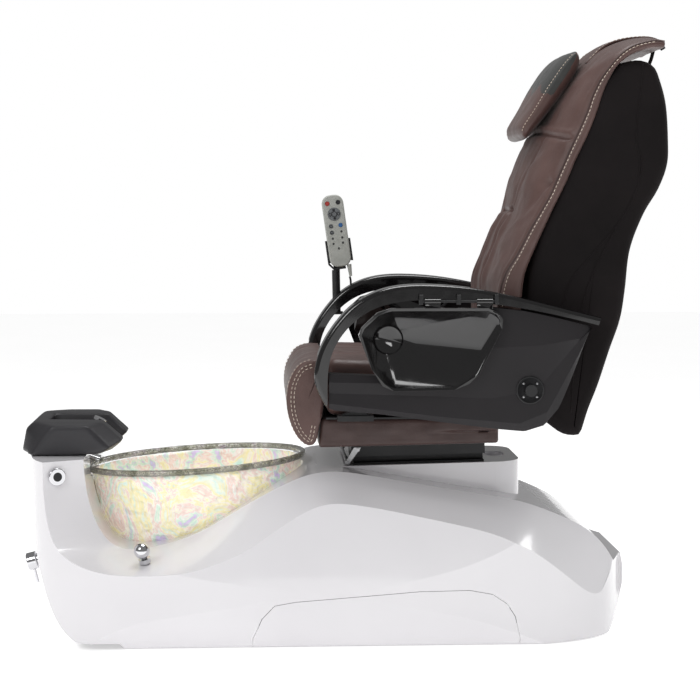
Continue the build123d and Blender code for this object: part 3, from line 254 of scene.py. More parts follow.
pearl = pearl_glass_painted_glow()
rim_glass = new_material(
    "rim_glass", (0.62, 0.64, 0.52), 0.05, IOR=1.5, Transmission_Weight=0.75, Coat_Weight=1.0,
)
vary(rim_glass, 40.0, [(0.35, (0.30, 0.31, 0.22)), (0.55, (0.80, 0.80, 0.70)), (0.7, (0.62, 0.52, 0.66))])
bump(rim_glass, [(VORONOI, 150.0, 0.9, 0.006), (NOISE, 60.0, 0.4, 0.004)])


# ---------------------------------------------------------------- mesh helpers
def mesh_object(name, points, faces, material, smooth=True):
    """A mesh from points in millimetres."""
    mesh = bpy.data.meshes.new(name)
    mesh.from_pydata([Vector(p) * MM for p in points], [], faces)
    mesh.materials.append(material)
    mesh.polygons.foreach_set("use_smooth", [smooth] * len(faces))
    mesh.validate()
    obj = bpy.data.objects.new(name, mesh)
    bpy.context.scene.collection.objects.link(obj)
    return obj


def weld(obj, distance=0.05):
    """Joins the seams of a mesh and turns its faces outwards."""
    work = bmesh.new()
    work.from_mesh(obj.data)
    bmesh.ops.remove_doubles(work, verts=work.verts, dist=distance * MM)
    bmesh.ops.recalc_face_normals(work, faces=work.faces)
    work.to_mesh(obj.data)
    work.free()
    return obj


def place(obj, body, slot, *replaced):
    """Sets what a piece rides on and the nodes it stands for; the slot argument is not used."""
    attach(obj, body)
    if replaced:
        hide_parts(*replaced)
    return obj


def smooth_line(points, count):
    """Points at even distances along a Catmull-Rom curve through the given ones."""
    vectors = [Vector(p) for p in points]
    ends = [2 * vectors[0] - vectors[1], *vectors, 2 * vectors[-1] - vectors[-2]]
    fine = []
    for i in range(1, len(ends) - 2):
        a, b, c, d = ends[i - 1:i + 3]
        for k in range(24):
            t = k / 24
            fine.append(0.5 * ((2 * b) + (c - a) * t + (2 * a - 5 * b + 4 * c - d) * t * t
                               + (3 * b - a - 3 * c + d) * t ** 3))
    fine.append(vectors[-1])
    return spread(fine, count)


def spread(points, count):
    """Points at even distances along straight runs."""
    points = [Vector(p) for p in points]
    travelled = [0.0]
    for a, b in zip(points, points[1:]):
        travelled.append(travelled[-1] + (b - a).length)
    result, j = [], 0
    for k in range(count):
        goal = travelled[-1] * k / (count - 1)
        while j < len(points) - 2 and travelled[j + 1] < goal:
            j += 1
        span = travelled[j + 1] - travelled[j] or 1.0
        result.append(points[j].lerp(points[j + 1], min(1.0, max(0.0, (goal - travelled[j]) / span))))
    return result


def bell(distance, width):
    return math.exp(-(distance / width) ** 2)


def bridge(rings, closed=True):
    """Quads between rings of equal length, numbered ring by ring."""
    size = len(rings[0])
    faces = []
    for i in range(len(rings) - 1):
        for j in range(size if closed else size - 1):
            k = (j + 1) % size
            faces.append((i * size + j, i * size + k, (i + 1) * size + k, (i + 1) * size + j))
    return faces


def inset_ring(ring, amount):
    """A ring of (x, z) points moved inwards along its own normals."""
    area = sum(a.x * b.y - b.x * a.y for a, b in zip(ring, ring[1:] + ring[:1]))
    sign = 1 if area > 0 else -1
    result = []
    for i, here in enumerate(ring):
        along = ring[(i + 1) % len(ring)] - ring[i - 1]
        normal = Vector((-along.y, along.x)).normalized() * sign
        result.append(here + normal * amount)
    return result


def bolster(name, outline, half_width, end_round, material, stations=61, shape=None):
    """A stuffed roll: one outline carried from side to side, rounded over at both ends."""
    ring = [Vector(p) for p in outline]
    places = [half_width * (-1 + 2 * s / (stations - 1)) for s in range(stations)]
    middle = [y for y in places if abs(y) < half_width - end_round]
    profile = [(-half_width + end_round * (1 - math.cos(math.radians(d))),
                end_round * (1 - math.sin(math.radians(d)))) for d in (0, 15, 30, 45, 60, 75, 90)]
    profile += [(y, 0.0) for y in middle]
    profile += [(-y, inset) for y, inset in profile[:7][::-1]]
    points, solid_rings = [], []
    for y, inset in profile:
        loop = inset_ring(ring, inset) if inset > 0.01 else ring
        solid_rings.append(loop)
        for p in loop:
            points.append(Vector((p.x, y, p.y)))
    faces = bridge(solid_rings)
    size = len(ring)
    for base in (0, (len(profile) - 1) * size):
        center = sum((points[base + j] for j in range(size)), Vector()) / size
        inner = []
        for k in (0.66, 0.33):
            first = len(points)
            for j in range(size):
                points.append(center.lerp(points[base + j], k))
            inner.append(first)
        chain = [base, *inner]
        for a, b in zip(chain, chain[1:]):
            faces += [(a + j, a + (j + 1) % size, b + (j + 1) % size, b + j) for j in range(size)]
        points.append(center)
        faces += [(inner[-1] + j, inner[-1] + (j + 1) % size, len(points) - 1) for j in range(size)]
    if shape:
        points = [p + shape(p) for p in points]
    obj = mesh_object(name, points, faces, material)
    return weld(obj)


def rounded_pad(name, low, high, radius, material, pitch=7.0, shape=None):
    """A box with round edges, built as an even grid so that it can be shaped."""
    low, high = Vector(low), Vector(high)
    counts = [max(2, round((high[i] - low[i]) / pitch)) for i in range(3)]
    points, faces = [], []
    for axis in range(3):
        u, v = [i for i in range(3) if i != axis]
        for end in (0, 1):
            first = len(points)
            for i in range(counts[u] + 1):
                for j in range(counts[v] + 1):
                    p = Vector((0, 0, 0))
                    p[axis] = (low, high)[end][axis]
                    p[u] = low[u] + (high[u] - low[u]) * i / counts[u]
                    p[v] = low[v] + (high[v] - low[v]) * j / counts[v]
                    core = Vector([min(max(p[k], low[k] + radius), high[k] - radius) for k in range(3)])
                    p = core + (p - core).normalized() * radius if (p - core).length > 0 else p
                    points.append(p)
            row = counts[v] + 1
            for i in range(counts[u]):
                for j in range(counts[v]):
                    a = first + i * row + j
                    faces.append((a, a + 1, a + row + 1, a + row))
    if shape:
        points = [p + shape(p) for p in points]
    return weld(mesh_object(name, points, faces, material), 0.4)


def ring_tube(name, path, radius, material, sides=8, closed=False):
    """A round tube along points."""
    path = [Vector(p) for p in path]
    points, rings = [], []
    up = Vector((0, 1, 0.123))
    for i, p in enumerate(path):
        before = path[i - 1] if (i or closed) else p
        after = path[(i + 1) % len(path)] if (i < len(path) - 1 or closed) else p
        along = (after - before).normalized()
        side = along.cross(up).normalized()
        other = along.cross(side).normalized()
        loop = [p + side * radius * math.cos(a) + other * radius * math.sin(a)
                for a in (math.tau * k / sides for k in range(sides))]
        rings.append(loop)
        points += loop
    faces = bridge(rings)
    if closed:
        last = (len(rings) - 1) * sides
        faces += [(last + j, last + (j + 1) % sides, (j + 1) % sides, j) for j in range(sides)]
    else:
        faces += [tuple(range(sides)), tuple(range(len(points) - sides, len(points)))]
    return weld(mesh_object(name, points, faces, material))


def stitches(name, lines, body, long=6.5, gap=3.2, radius=0.85):
    """Rows of thread dashes along lines, as one piece."""
    points, faces = [], []
    for line in lines:
        length = sum((Vector(b) - Vector(a)).length for a, b in zip(line, line[1:]))
        count = max(3, int(length / (long + gap)))
        marks = spread(line, count * 2 + 1)
        for a, b in zip(marks[::2], marks[1::2]):
            along = (b - a).normalized()
            b = a + along * long
            side = along.cross(Vector((0.3, 1, 0.2))).normalized() * radius
            other = along.cross(side).normalized() * radius
            first = len(points)
            for p, size in ((a, 0.3), (a.lerp(b, 0.2), 1), (a.lerp(b, 0.8), 1), (b, 0.3)):
                points += [p + (side * math.cos(t) + other * math.sin(t)) * size
                           for t in (math.tau * k / 6 for k in range(6))]
            faces += [(first + r * 6 + j, first + r * 6 + (j + 1) % 6, first + (r + 1) * 6 + (j + 1) % 6,
                       first + (r + 1) * 6 + j) for r in range(3) for j in range(6)]
            faces += [tuple(first + j for j in range(6)), tuple(first + 18 + j for j in range(6))]
    obj = weld(mesh_object(name, points, faces, thread), 0.01)
    return place(obj, body, "leather")


def dressed(node, material, body, slot):
    """A welded, smoothly shaded copy of a CAD part, standing for it."""
    obj = bpy.data.objects.new(node + "_finished", nodes[node].data.copy())
    bpy.context.scene.collection.objects.link(obj)
    obj.data.materials.clear()
    obj.data.materials.append(material)
    weld(obj, 0.01)
    obj.data.polygons.foreach_set("use_smooth", [True] * len(obj.data.polygons))
    obj.data.set_sharp_from_angle(angle=math.radians(34))
    return place(obj, body, slot, node)


# ---------------------------------------------------------------- CAD parts that stay
KEPT = {
    "gel_coat": (gel_coat, ["base_shell", "access_panels"]),
    "chrome": (chrome, ["drain_fitting", "shower_socket", "hand_shower", "spout", "mixer_body",
                        "mixer_handle", "air_switch_bezel", "drain_knob_base", "drain_knob"]),
    "rubber": (rubber, ["bowl_gasket", "arm_stops"]),
    "grey_pvc": (grey_pipe, ["drain_trap"]),
    "black_plastic": (powder, ["jet_housing", "jet_impeller", "air_switch_button", "control_box",
                               "massage_heads", "remote_cradle", "jet_motor"]),
    "frame_steel": (powder, ["base_frame", "tray_hinge_left", "tray_hinge_right", "slide_carriage",
                             "slide_rails", "seat_frame", "back_frame", "massage_carriage",
                             "recline_motor"]),
    "bright_steel": (steel, ["levelling_feet", "footrest_bracket", "slide_lever", "lead_screw", "pivot_bolts",
                             "water_pipes"]),
    "black_gloss": (piano, ["armrest_left", "armrest_right"]),
    "handset_grey": (silver_plastic, ["remote_housing"]),
    "key_red": (key_red, ["remote_key_power"]),
    "key_dark": (key_dark, ["remote_key_stop"]),
    "key_grey": (key_grey, ["remote_key_pad", "remote_key_mode", "remote_key_zone"]),
    "key_blue": (key_blue, ["remote_key_heat"]),
}


def dress_kept_parts():
    for material, names in KEPT.values():
        for name in names:
            mesh = nodes[name].data
            if mesh.materials:
                for i in range(len(mesh.materials)):
                    mesh.materials[i] = material
            else:
                mesh.materials.append(material)
    for name in ("remote_post", "pivot_bolts"):
        for i in range(len(nodes[name].data.materials)):
            nodes[name].data.materials[i] = powder


# ---------------------------------------------------------------- base
def make_footrest():
    pad = dressed("footrest_pad", footrest_black, "base", "footrest_pu")
    for kind, settings in (("REMESH", {"mode": "VOXEL", "voxel_size": 0.0028}),
                           ("SMOOTH", {"factor": 0.6, "iterations": 26})):
        modifier = pad.modifiers.new(kind.lower(), kind)
        for key, value in settings.items():
            setattr(modifier, key, value)
        bpy.context.view_layer.objects.active = pad
        bpy.ops.object.modifier_apply(modifier=modifier.name)
    pad.data.polygons.foreach_set("use_smooth", [True] * len(pad.data.polygons))


def make_bowl():
    """An oval bowl of hammered glass with a beaded rim, turned on its own tilted axis."""
    tilt = math.radians(3.4)
    squash, depth, wall = 0.83, 176.0, 8.0
    middle = Vector((-324.5, 0, 366.5))
    across = Vector((math.cos(tilt), 0, math.sin(tilt)))
    up = Vector((-math.sin(tilt), 0, math.cos(tilt)))
    outer = [(0, -depth), (90, -depth), (176, -depth), (198, -depth + 8), (216, -depth + 28), (226, -depth + 52),
             (232, -100), (238, -60), (243, -24), (245, -9)]
    inner = [(237, -7), (235, -24), (230, -60), (224, -100), (217, -depth + 58), (206, -depth + 34),
             (190, -depth + 16), (172, -depth + wall), (90, -depth + wall), (0, -depth + wall)]
    profile = smooth_line([(r, h, 0) for r, h in outer], 46) + smooth_line([(r, h, 0) for r, h in inner], 46)
    turns = 150
    points = []
    for p in profile:
        for k in range(turns):
            a = math.tau * k / turns
            seed = Vector((math.cos(a) * 3.2, math.sin(a) * 3.2, p.y / 60))
            hammer = 1.6 * noise.noise(seed * 2.2) + 1.1 * noise.noise(seed * 5.0)
            hammer *= min(1.0, p.x / 60)
            r = p.x + hammer
            points.append(middle + across * r * math.cos(a) + Vector((0, 1, 0)) * r * squash * math.sin(a)
                          + up * p.y)
    rings = [points[i * turns:(i + 1) * turns] for i in range(len(profile))]
    bowl = weld(mesh_object("pearl_bowl", points, bridge(rings), pearl), 0.05)
    place(bowl, "base", "bowl_glass", "glass_bowl")
    bead, bead_points, bead_turns = 8.0, [], 360
    for k in range(bead_turns):
        a = math.tau * k / bead_turns
        knurl = 0.7 * noise.noise(Vector((math.cos(a) * 30, math.sin(a) * 30, 0)))
        for j in range(16):
            b = math.tau * j / 16
            r = 251 - 1 + (bead + knurl - 0.6) * math.cos(b)
            h = (bead + knurl - 0.6) * math.sin(b) - 0.5
            bead_points.append(middle + across * r * math.cos(a)
                               + Vector((0, 1, 0)) * r * squash * math.sin(a) + up * h)
    faces = [(k * 16 + j, k * 16 + (j + 1) % 16, ((k + 1) % bead_turns) * 16 + (j + 1) % 16,
              ((k + 1) % bead_turns) * 16 + j) for k in range(bead_turns) for j in range(16)]
    rim = weld(mesh_object("bowl_rim", bead_points, faces, rim_glass), 0.01)
    place(rim, "base", "bowl_glass")


# ---------------------------------------------------------------- seat
ROLL = [
    (-32, 619), (-60, 619), (-90, 606), (-110, 572), (-116, 531), (-110, 487), (-95, 452),
    (-76, 432), (-60, 430), (-51, 442), (-45, 470), (-38, 500), (-33, 540), (-31, 590),
]


def make_seat():
    low, high = (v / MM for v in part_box("seat_cushion"))

    def seat_shape(p):
        x = (p.x - low.x) / (high.x - low.x)
        y = p.y / high.y
        top = max(0.0, (p.z - low.z) / (high.z - low.z))
        crown = 13 * (1 - y ** 4) * top - 14 * x * top
        seam = -5 * bell(abs(p.y) - 168, 7) * top
        ripple = 2.2 * noise.noise(Vector((p.x, p.y, 0)) / 60) * top
        for side in (-1, 1):
            r = math.hypot((p.x - 30) / 62, (p.y - side * 92) / 55)
            crown += (-3.2 * bell(r - 1, 0.07) + 1.6 * bell(r, 0.8)) * top
        return Vector((0, 0, crown + seam + ripple))

    cushion = rounded_pad("seat_cushion_leather", low, high, 22, brown, pitch=6.0, shape=seat_shape)
    place(cushion, "seat", "leather", "seat_cushion")

    outline = smooth_line([(*p, 0) for p in ROLL + ROLL[:1]], 90)[:-1]
    outline = [Vector((p.x, p.y)) for p in outline]

    def roll_shape(p):
        fold = 1.8 * noise.noise(Vector((p.x / 90, p.y / 45, p.z / 70)))
        return Vector((-fold + 2.5 * bell(abs(p.y) - 150, 6), 0, 0.6 * fold))

    roll = bolster("seat_front_roll_leather", outline, 250, 9, brown, stations=81, shape=roll_shape)
    place(roll, "seat", "leather", "seat_front_roll")
    lines = []
    for side in (-1, 1):
        for inset in (9, 16):
            lines.append([Vector((p.x, side * 250.4, p.y)) for p in inset_ring(outline, inset)[6:62]])
        lines.append([Vector((p.x, side * 239, p.y)) for p in inset_ring(outline, -0.4)[6:58]])
    stitches("seat_roll_stitching", lines, "seat")

    slow, shigh = (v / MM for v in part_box("seat_skirt"))

    def skirt_shape(p):
        side = 1 if abs(p.y) > 225 else 0
        out = 1 if p.y > 0 else -1
        wave = 2.0 * noise.noise(Vector((p.x / 55, 0, p.z / 30))) - 2.4 * bell(p.x - 330, 5)
        wave -= 2.0 * bell(p.z - slow.z - 9, 2.5)
        end = 1.5 * noise.noise(Vector((p.y / 60, 3, p.z / 30)))
        lean = (p.z - slow.z) * 0.10 if p.x < slow.x + 60 else 0
        return Vector((end + lean, out * wave * side, 0.02 * (p.x - slow.x) if p.z < slow.z + 30 else 0))

    skirt = rounded_pad("seat_skirt_leather", slow, shigh, 7, brown_dark, 6.0, skirt_shape)
    place(skirt, "seat", "leather", "seat_skirt")


# ---------------------------------------------------------------- back
FRONT_LINE = [      # middle of the cushion's front, from the seat up and over the head
    (352, 648), (342, 715), (338, 777), (346, 815), (362, 857), (379, 902), (398, 936), (405, 965), (412, 1007),
    (424, 1040), (440, 1081), (457, 1112), (480, 1152), (507, 1200), (534, 1243), (562, 1280), (598, 1312),
    (640, 1330), (688, 1337), (722, 1333),
]
EDGE_LINE = [       # the stitched edge at each side
    (352, 648), (352, 720), (357, 772), (370, 811), (394, 850), (421, 902), (446, 945), (466, 980), (479, 1010),
    (499, 1056), (514, 1090), (528, 1120), (546, 1162), (558, 1197), (575, 1232), (597, 1262), (622, 1290),
    (650, 1308), (690, 1318), (716, 1316),
]
BAND_LINE = [       # where the side band meets the cover
    (398, 648), (402, 720), (406, 772), (411, 807), (423, 840), (445, 890), (470, 945), (487, 980), (503, 1012),
    (521, 1056), (538, 1090), (552, 1120), (568, 1162), (580, 1200), (593, 1232), (610, 1262), (632, 1282),
    (656, 1295), (690, 1304), (714, 1304),
]
BACK_HALF = 250.0


def back_lines():
    result = []
    for line in (FRONT_LINE, EDGE_LINE, BAND_LINE):
        points = [Vector((x, z, 0)) for x, z in line]
        fine = []
        for i in range(len(points) - 1):
            a, b = points[max(0, i - 1)], points[i]
            c, d = points[i + 1], points[min(len(points) - 1, i + 2)]
            for k in range(10):
                t = k / 10
                fine.append(0.5 * ((2 * b) + (c - a) * t + (2 * a - 5 * b + 4 * c - d) * t * t
                                   + (3 * b - a - 3 * c + d) * t ** 3))
        fine.append(points[-1])
        result.append(fine)
    return result


def back_detail(across, height):
    """How far the cushion's front stands out or in, in millimetres: seams, tucks and gathers."""
    y = across * BACK_HALF
    depth = 0.0
    seam = 1126 - 22 * across ** 2
    depth += -7.0 * bell(height - seam, 4.5)
    depth += 5.5 * bell(height - seam - 11, 8) + 3.0 * bell(height - seam + 12, 9)
    for side in (-1, 1):
        lean = side * (62 + 0.10 * max(0.0, 950 - height))
        below = 1 / (1 + math.exp((height - 946) / 6))
        above = 1 - below
        depth += -20 * bell(y - lean, 6.5) * below * (0.35 + 0.65 * bell(height - 946, 90))
        depth += 7 * bell(y - lean - 18, 11) * below + 7 * bell(y - lean + 18, 11) * below
        depth += -18 * bell(y - side * 62, 18) * bell(height - 948, 7)
        bend = side * (62 + 0.42 * (height - 948))
        depth += -5 * bell(y - bend, 7) * above * bell(height - 948, 85)
        arc = side * (90 + 60 * math.sin(min(1.0, max(0.0, (height - 960) / 170)) * math.pi / 2))
        depth += -3.5 * bell(y - arc, 3.5) * above * (1 if height < seam - 6 else 0)
        depth += -9 * bell(y - side * 232, 14) * bell(height - 1008, 9)
        depth += -4 * bell(y - side * (232 - 0.5 * abs(height - 1008)), 9) * bell(height - 990, 42)
    depth += -6 * bell(height - 948, 5) * bell(y, 60)
    for k, (center, tall) in enumerate(((905, 22), (860, 26), (1050, 26), (1180, 30), (1230, 24))):
        slope = 0.55 * (-1) ** k
        depth += 2.4 * bell(height - center - slope * (abs(y) - 150), tall * 0.55) * bell(abs(y) - 185, 60)
    depth += 3.0 * noise.noise(Vector((y / 75, height / 60, 1.7)))
    depth += 1.6 * noise.noise(Vector((y / 28, height / 34, 4)))
    return depth


def make_back_cushion():
    front, edge, band = back_lines()
    count = len(front)
    columns = [-1 + 2 * i / 96 for i in range(97)]
    points = []
    rows = []
    for i in range(count):
        f, e, b = front[i], edge[i], band[i]
        low = front[max(0, i - 1)]
        high = front[min(count - 1, i + 1)]
        along = (high - low).normalized()
        out = Vector((-along.y, along.x, 0))
        if out.x > 0 and i < count * 0.7:
            out = -out
        row = []
        sides = []
        for k in range(7):
            t = k / 6
            puff = 5.5 * math.sin(math.pi * t)
            p = b.lerp(e, t)
            sides.append((p, BACK_HALF - 9 + puff + (3 if 0 < k < 6 else 0)))
        for p, y in sides[:-1]:
            row.append(Vector((p.x, -y, p.y)))
        for c in columns:
            rise = (1 - abs(c) ** 2.7) ** 0.75
            p = e.lerp(f, rise)
            depth = back_detail(c, p.y) * min(1.0, (1 - abs(c)) / 0.05)
            lip = 2.5 * bell(1 - abs(c) - 0.028, 0.018)
            p = p + out * (depth + lip)
            row.append(Vector((p.x, c * (BACK_HALF - 6), p.y)))
        for p, y in sides[:-1][::-1]:
            row.append(Vector((p.x, y, p.y)))
        rows.append(row)
        points += row
    size = len(rows[0])
    faces = bridge(rows, closed=False)
    faces += [(i * size, (i + 1) * size, (i + 1) * size + size - 1, i * size + size - 1)
              for i in range(count - 1)]
    faces += [tuple(range(size - 1, -1, -1)), tuple((count - 1) * size + j for j in range(size))]
    cushion = weld(mesh_object("back_cushion_leather", points, faces, brown), 0.01)
    place(cushion, "back", "leather", "back_cushion")
    lines = []
    for side in (-1, 1):
        run = []
        for i in range(6, count - 8):
            e, b = edge[i], band[i]
            p = e.lerp(b, 0.16)
            run.append(Vector((p.x, side * (BACK_HALF - 2.2), p.y)))
        lines.append(run)
    stitches("back_cushion_stitching", lines, "back", long=6.0, gap=3.0, radius=0.9)
    for side in (-1, 1):
        run = [Vector((edge[i].x - 0.5, side * (BACK_HALF - 6.5), edge[i].y)) for i in range(2, count - 2)]
        tube = ring_tube("back_edge_welt_" + ("left" if side < 0 else "right"), run, 2.4, brown_dark)
        place(tube, "back", "leather")


COVER = [
    (619, 1271), (663, 1278), (696, 1265), (712, 1234), (727, 1180), (733, 1103), (731, 1048), (711, 993),
    (679, 938), (650, 860), (640, 771), (630, 705), (608, 638), (582, 560), (560, 504), (545, 456), (534, 446),
    (507, 448), (484, 460), (462, 482), (449, 520), (448, 596), (432, 640), (421, 770), (443, 880), (486, 985),
    (546, 1130), (581, 1225),
]
COVER_SEAMS = [
    [(667, 1268), (664, 1218), (657, 1160), (655, 1094), (663, 1058), (654, 985), (615, 917), (548, 838),
     (513, 795), (498, 752), (486, 690), (480, 600), (484, 520)],
    [(657, 1090), (668, 1043), (645, 968), (607, 901), (564, 815), (540, 744), (528, 680), (520, 600),
     (516, 500)],
]


def make_back_cover():
    closed = smooth_line([(*p, 0) for p in COVER + COVER[:1]], 150)[:-1]
    outline = [Vector((p.x, p.y)) for p in closed]

    def cover_shape(p):
        rear = max(0.0, min(1.0, (p.x - 470 - (p.z - 480) * 0.22) / 120))
        y = p.y / 250
        waist = -4 * y * y * rear
        fold = 2.0 * noise.noise(Vector((p.x / 120, p.y / 90, p.z / 160)))
        seam = -2.2 * rear * (bell(abs(p.y) - 120, 4))
        return Vector((waist + fold * rear + seam, 0, 0))

    cover = bolster("back_cover_knit", outline, 249, 24, knit, stations=81, shape=cover_shape)
    place(cover, "back", "back_fabric", "back_cover")
    for side, name in ((-1, "left"), (1, "right")):
        for k, seam in enumerate(COVER_SEAMS):
            run = [Vector((p.x, side * 248.6, p.y)) for p in smooth_line([(*q, 0) for q in seam], 70)]
            tube = ring_tube(f"cover_seam_{name}_{k}", run, 1.7, knit, 6)
            place(tube, "back", "back_fabric")


PILLOW_FRONT = [(416, 1120), (412, 1137), (418, 1152), (438, 1187), (460, 1229), (478, 1257), (498, 1283),
                (520, 1301), (540, 1308)]
PILLOW_REAR = [(432, 1108), (444, 1116), (467, 1143), (491, 1172), (522, 1211), (545, 1246), (556, 1272),
               (556, 1290), (548, 1302)]


def make_pillow():
    front = smooth_line([(*p, 0) for p in PILLOW_FRONT], 60)
    rear = smooth_line([(*p, 0) for p in PILLOW_REAR], 60)
    half = 135.0
    columns = [math.sin(math.pi / 2 * (-1 + 2 * i / 60)) for i in range(61)]
    points, rows = [], []
    for i in range(60):
        t = i / 59
        taper = (1 - abs(2 * t - 1) ** 6) ** 0.5
        width = half - 22 * (1 - taper)
        f, r = front[i], rear[i]
        mid = f.lerp(r, 0.42)
        row = []
        for c in columns:
            puff = (1 - abs(c) ** 3.2) ** 0.6
            p = mid.lerp(f, 0.15 + 0.85 * puff)
            wrinkle = 1.4 * noise.noise(Vector((c * 3, t * 5, 2)))
            row.append(Vector((p.x - wrinkle * puff, c * width, p.y)))
        for c in columns[::-1][1:-1]:
            puff = (1 - abs(c) ** 4.0) ** 0.5
            p = mid.lerp(r, 0.15 + 0.80 * puff)
            row.append(Vector((p.x, c * width, p.y)))
        rows.append(row)
        points += row
    size = len(rows[0])
    faces = bridge(rows)
    for base in (0, 59 * size):
        middle = sum((points[base + j] for j in range(size)), Vector()) / size
        points.append(middle)
        faces += [(base + j, base + (j + 1) % size, len(points) - 1) for j in range(size)]
    pillow = weld(mesh_object("head_pillow_leather", points, faces, brown), 0.01)
    pillow.data.materials.append(grey_leather)
    for face in pillow.data.polygons:
        c = face.center / MM
        chevron = 1236 - 26 * abs(math.sin(c.y * math.pi / 90.0))
        if c.z > chevron and face.normal.x < 0.25:
            face.material_index = 1
    place(pillow, "pillow", "leather", "head_pillow")
    lines = []
    for side in (-1, 1):
        run = []
        for i in range(3, 57):
            f, r = front[i], rear[i]
            p = f.lerp(r, 0.30)
            t = i / 59
            width = half - 22 * (1 - (1 - abs(2 * t - 1) ** 6) ** 0.5)
            run.append(Vector((p.x - 2, side * (width - 3.0), p.y)))
        lines.append(run)
    stitches("pillow_stitching", lines, "pillow", long=5.0, gap=2.6, radius=0.8)


FLAP_TOP = [
    (566, 1284), (584, 1302), (606, 1322), (640, 1337), (690, 1344), (722, 1341), (738, 1331), (742, 1316),
]


def make_flap():
    """The leather flap that the pillow hangs from, over the top of the back."""
    line = smooth_line([(*p, 0) for p in FLAP_TOP], 50)
    points, rows = [], []
    for i, p in enumerate(line):
        before, after = line[max(0, i - 1)], line[min(49, i + 1)]
        along = (after - before).normalized()
        out = Vector((-along.y, along.x, 0))
        row = []
        for c in [-1 + 2 * k / 30 for k in range(31)]:
            wave = 1.2 * noise.noise(Vector((c * 2, i / 9, 5)))
            q = p + out * wave
            row.append(Vector((q.x, c * 112, q.y - 3 * c * c)))
        for c in [1 - 2 * k / 30 for k in range(31)]:
            q = p - out * 5
            row.append(Vector((q.x, c * 110, q.y - 3 * c * c)))
        rows.append(row)
        points += row
    size = len(rows[0])
    faces = bridge(rows) + [tuple(range(size - 1, -1, -1)), tuple(49 * size + j for j in range(size))]
    flap = weld(mesh_object("pillow_flap_leather", points, faces, brown), 0.01)
    place(flap, "back", "leather", "pillow_flap")
    edge = [Vector((p.x, -104, p.y - 2.4)) for p in line[3:-3]]
    stitches("flap_stitching", [edge, [Vector((p.x, 104, p.z)) for p in edge]], "back")
    strap_line = ((726, 1322), (718, 1290), (707, 1260), (714, 1236), (722, 1206))
    strap = [(x, -96, z) for x, z in strap_line]
    pull = ring_tube("zip_pull", smooth_line([(716, -118, 1320), (726, -120, 1322), (736, -120, 1318),
                                              (741, -120, 1311)], 14), 6.0, powder, 10)
    place(pull, "back", "back_fabric")
    tape = ring_tube("rear_strap", smooth_line(strap, 24), 4.2, knit, 8)
    place(tape, "back", "back_fabric")


# ---------------------------------------------------------------- arms
PANEL_TOP = [(-26, 596), (95, 590), (160, 622), (250, 680), (322, 739), (400, 730), (480, 712.5), (545, 696)]
PANEL_BASE = [(-26, 520), (-13, 515), (84, 506.5), (237, 486), (346, 472), (401, 467), (444, 480), (477, 519),
              (498, 569), (530, 656), (545, 694)]
PANEL_CREASES = [   # (line of x, z; how far the panel stands out there)
    ([(-26, 531), (236, 499), (389, 485), (450, 510), (520, 640), (545, 694.5)], 330.0),
    ([(-26, 553), (214, 545), (330, 540), (430, 560), (505, 650), (545, 695)], 326.5),
    ([(-26, 577), (95, 574), (220, 600), (330, 650), (432, 655), (520, 670), (545, 695.4)], 329.6),
]


def height_on(line, x):
    for (x0, z0), (x1, z1) in zip(line, line[1:]):
        if x0 <= x <= x1:
            return z0 + (z1 - z0) * (x - x0) / ((x1 - x0) or 1)
    return line[-1][1] if x > line[-1][0] else line[0][1]


def make_side_panel(side, name):
    """The moulded side cover: facets between long creases, a returned rim and a hub."""
    count = 90
    xs = [-26 + 571 * k / (count - 1) for k in range(count)]
    rows = []
    for line, out in [(PANEL_BASE, 322.0), *PANEL_CREASES, (PANEL_TOP, 324.0)]:
        row = []
        for x in xs:
            top = height_on(PANEL_TOP, x) - (0 if line is PANEL_TOP else 0.2)
            row.append(Vector((x, side * out, min(top, max(height_on(PANEL_BASE, x), height_on(line, x))))))
        rows.append(row)
    inner_base = [Vector((p.x, side * 293, p.z)) for p in rows[0]]
    inner_top = [Vector((p.x, side * 293, p.z)) for p in rows[-1]]
    rows = [inner_base, *rows, inner_top]
    points = [p for row in rows for p in row]
    faces = bridge(rows, closed=False)
    for end in (0, count - 1):
        faces.append(tuple(r * count + end for r in range(len(rows))))
    panel = mesh_object("side_panel_skin_" + name, points, faces, charcoal, smooth=False)
    weld(panel, 0.3)
    panel.data.polygons.foreach_set("use_smooth", [True] * len(panel.data.polygons))
    panel.data.set_sharp_from_angle(angle=math.radians(3.0))
    solid = panel.modifiers.new("wall", "SOLIDIFY")
    solid.thickness = 0.003
    solid.offset = -1
    place(panel, "arm_" + name, "charcoal_panel", "side_panel_" + name)
    hub_profile = [
        (9, 262), (34, 262), (34, 322), (31, 327), (30, 331), (27.5, 331.2), (27, 329.6), (9, 329.6),
    ]
    points, rings = [], []
    for r, out in hub_profile:
        ring = [Vector((412 + r * math.cos(a), side * out, 558 + r * math.sin(a)))
                for a in (math.tau * k / 48 for k in range(48))]
        rings.append(ring)
        points += ring
    hub = weld(mesh_object("pivot_hub_" + name, points, bridge(rings + rings[:1]), powder), 0.01)
    place(hub, "arm_" + name, "black_plastic")
    points, faces = [], []
    for k in range(4):
        a = math.tau * (k + 0.5) / 4
        center = Vector((412 + 20.5 * math.cos(a), 0, 558 + 20.5 * math.sin(a)))
        first = len(points)
        for r, out in ((2.6, 329.4), (2.6, 331.0), (1.9, 331.7), (0.6, 331.8)):
            points += [center + Vector((r * math.cos(b), side * out, r * math.sin(b)))
                       for b in (math.tau * j / 12 for j in range(12))]
        faces += [(first + r * 12 + j, first + r * 12 + (j + 1) % 12, first + (r + 1) * 12 + (j + 1) % 12,
                   first + (r + 1) * 12 + j) for r in range(3) for j in range(12)]
        faces.append(tuple(first + 36 + j for j in range(12)))
    screws = weld(mesh_object("hub_screws_" + name, points, faces, steel), 0.01)
    place(screws, "arm_" + name, "bright_steel")


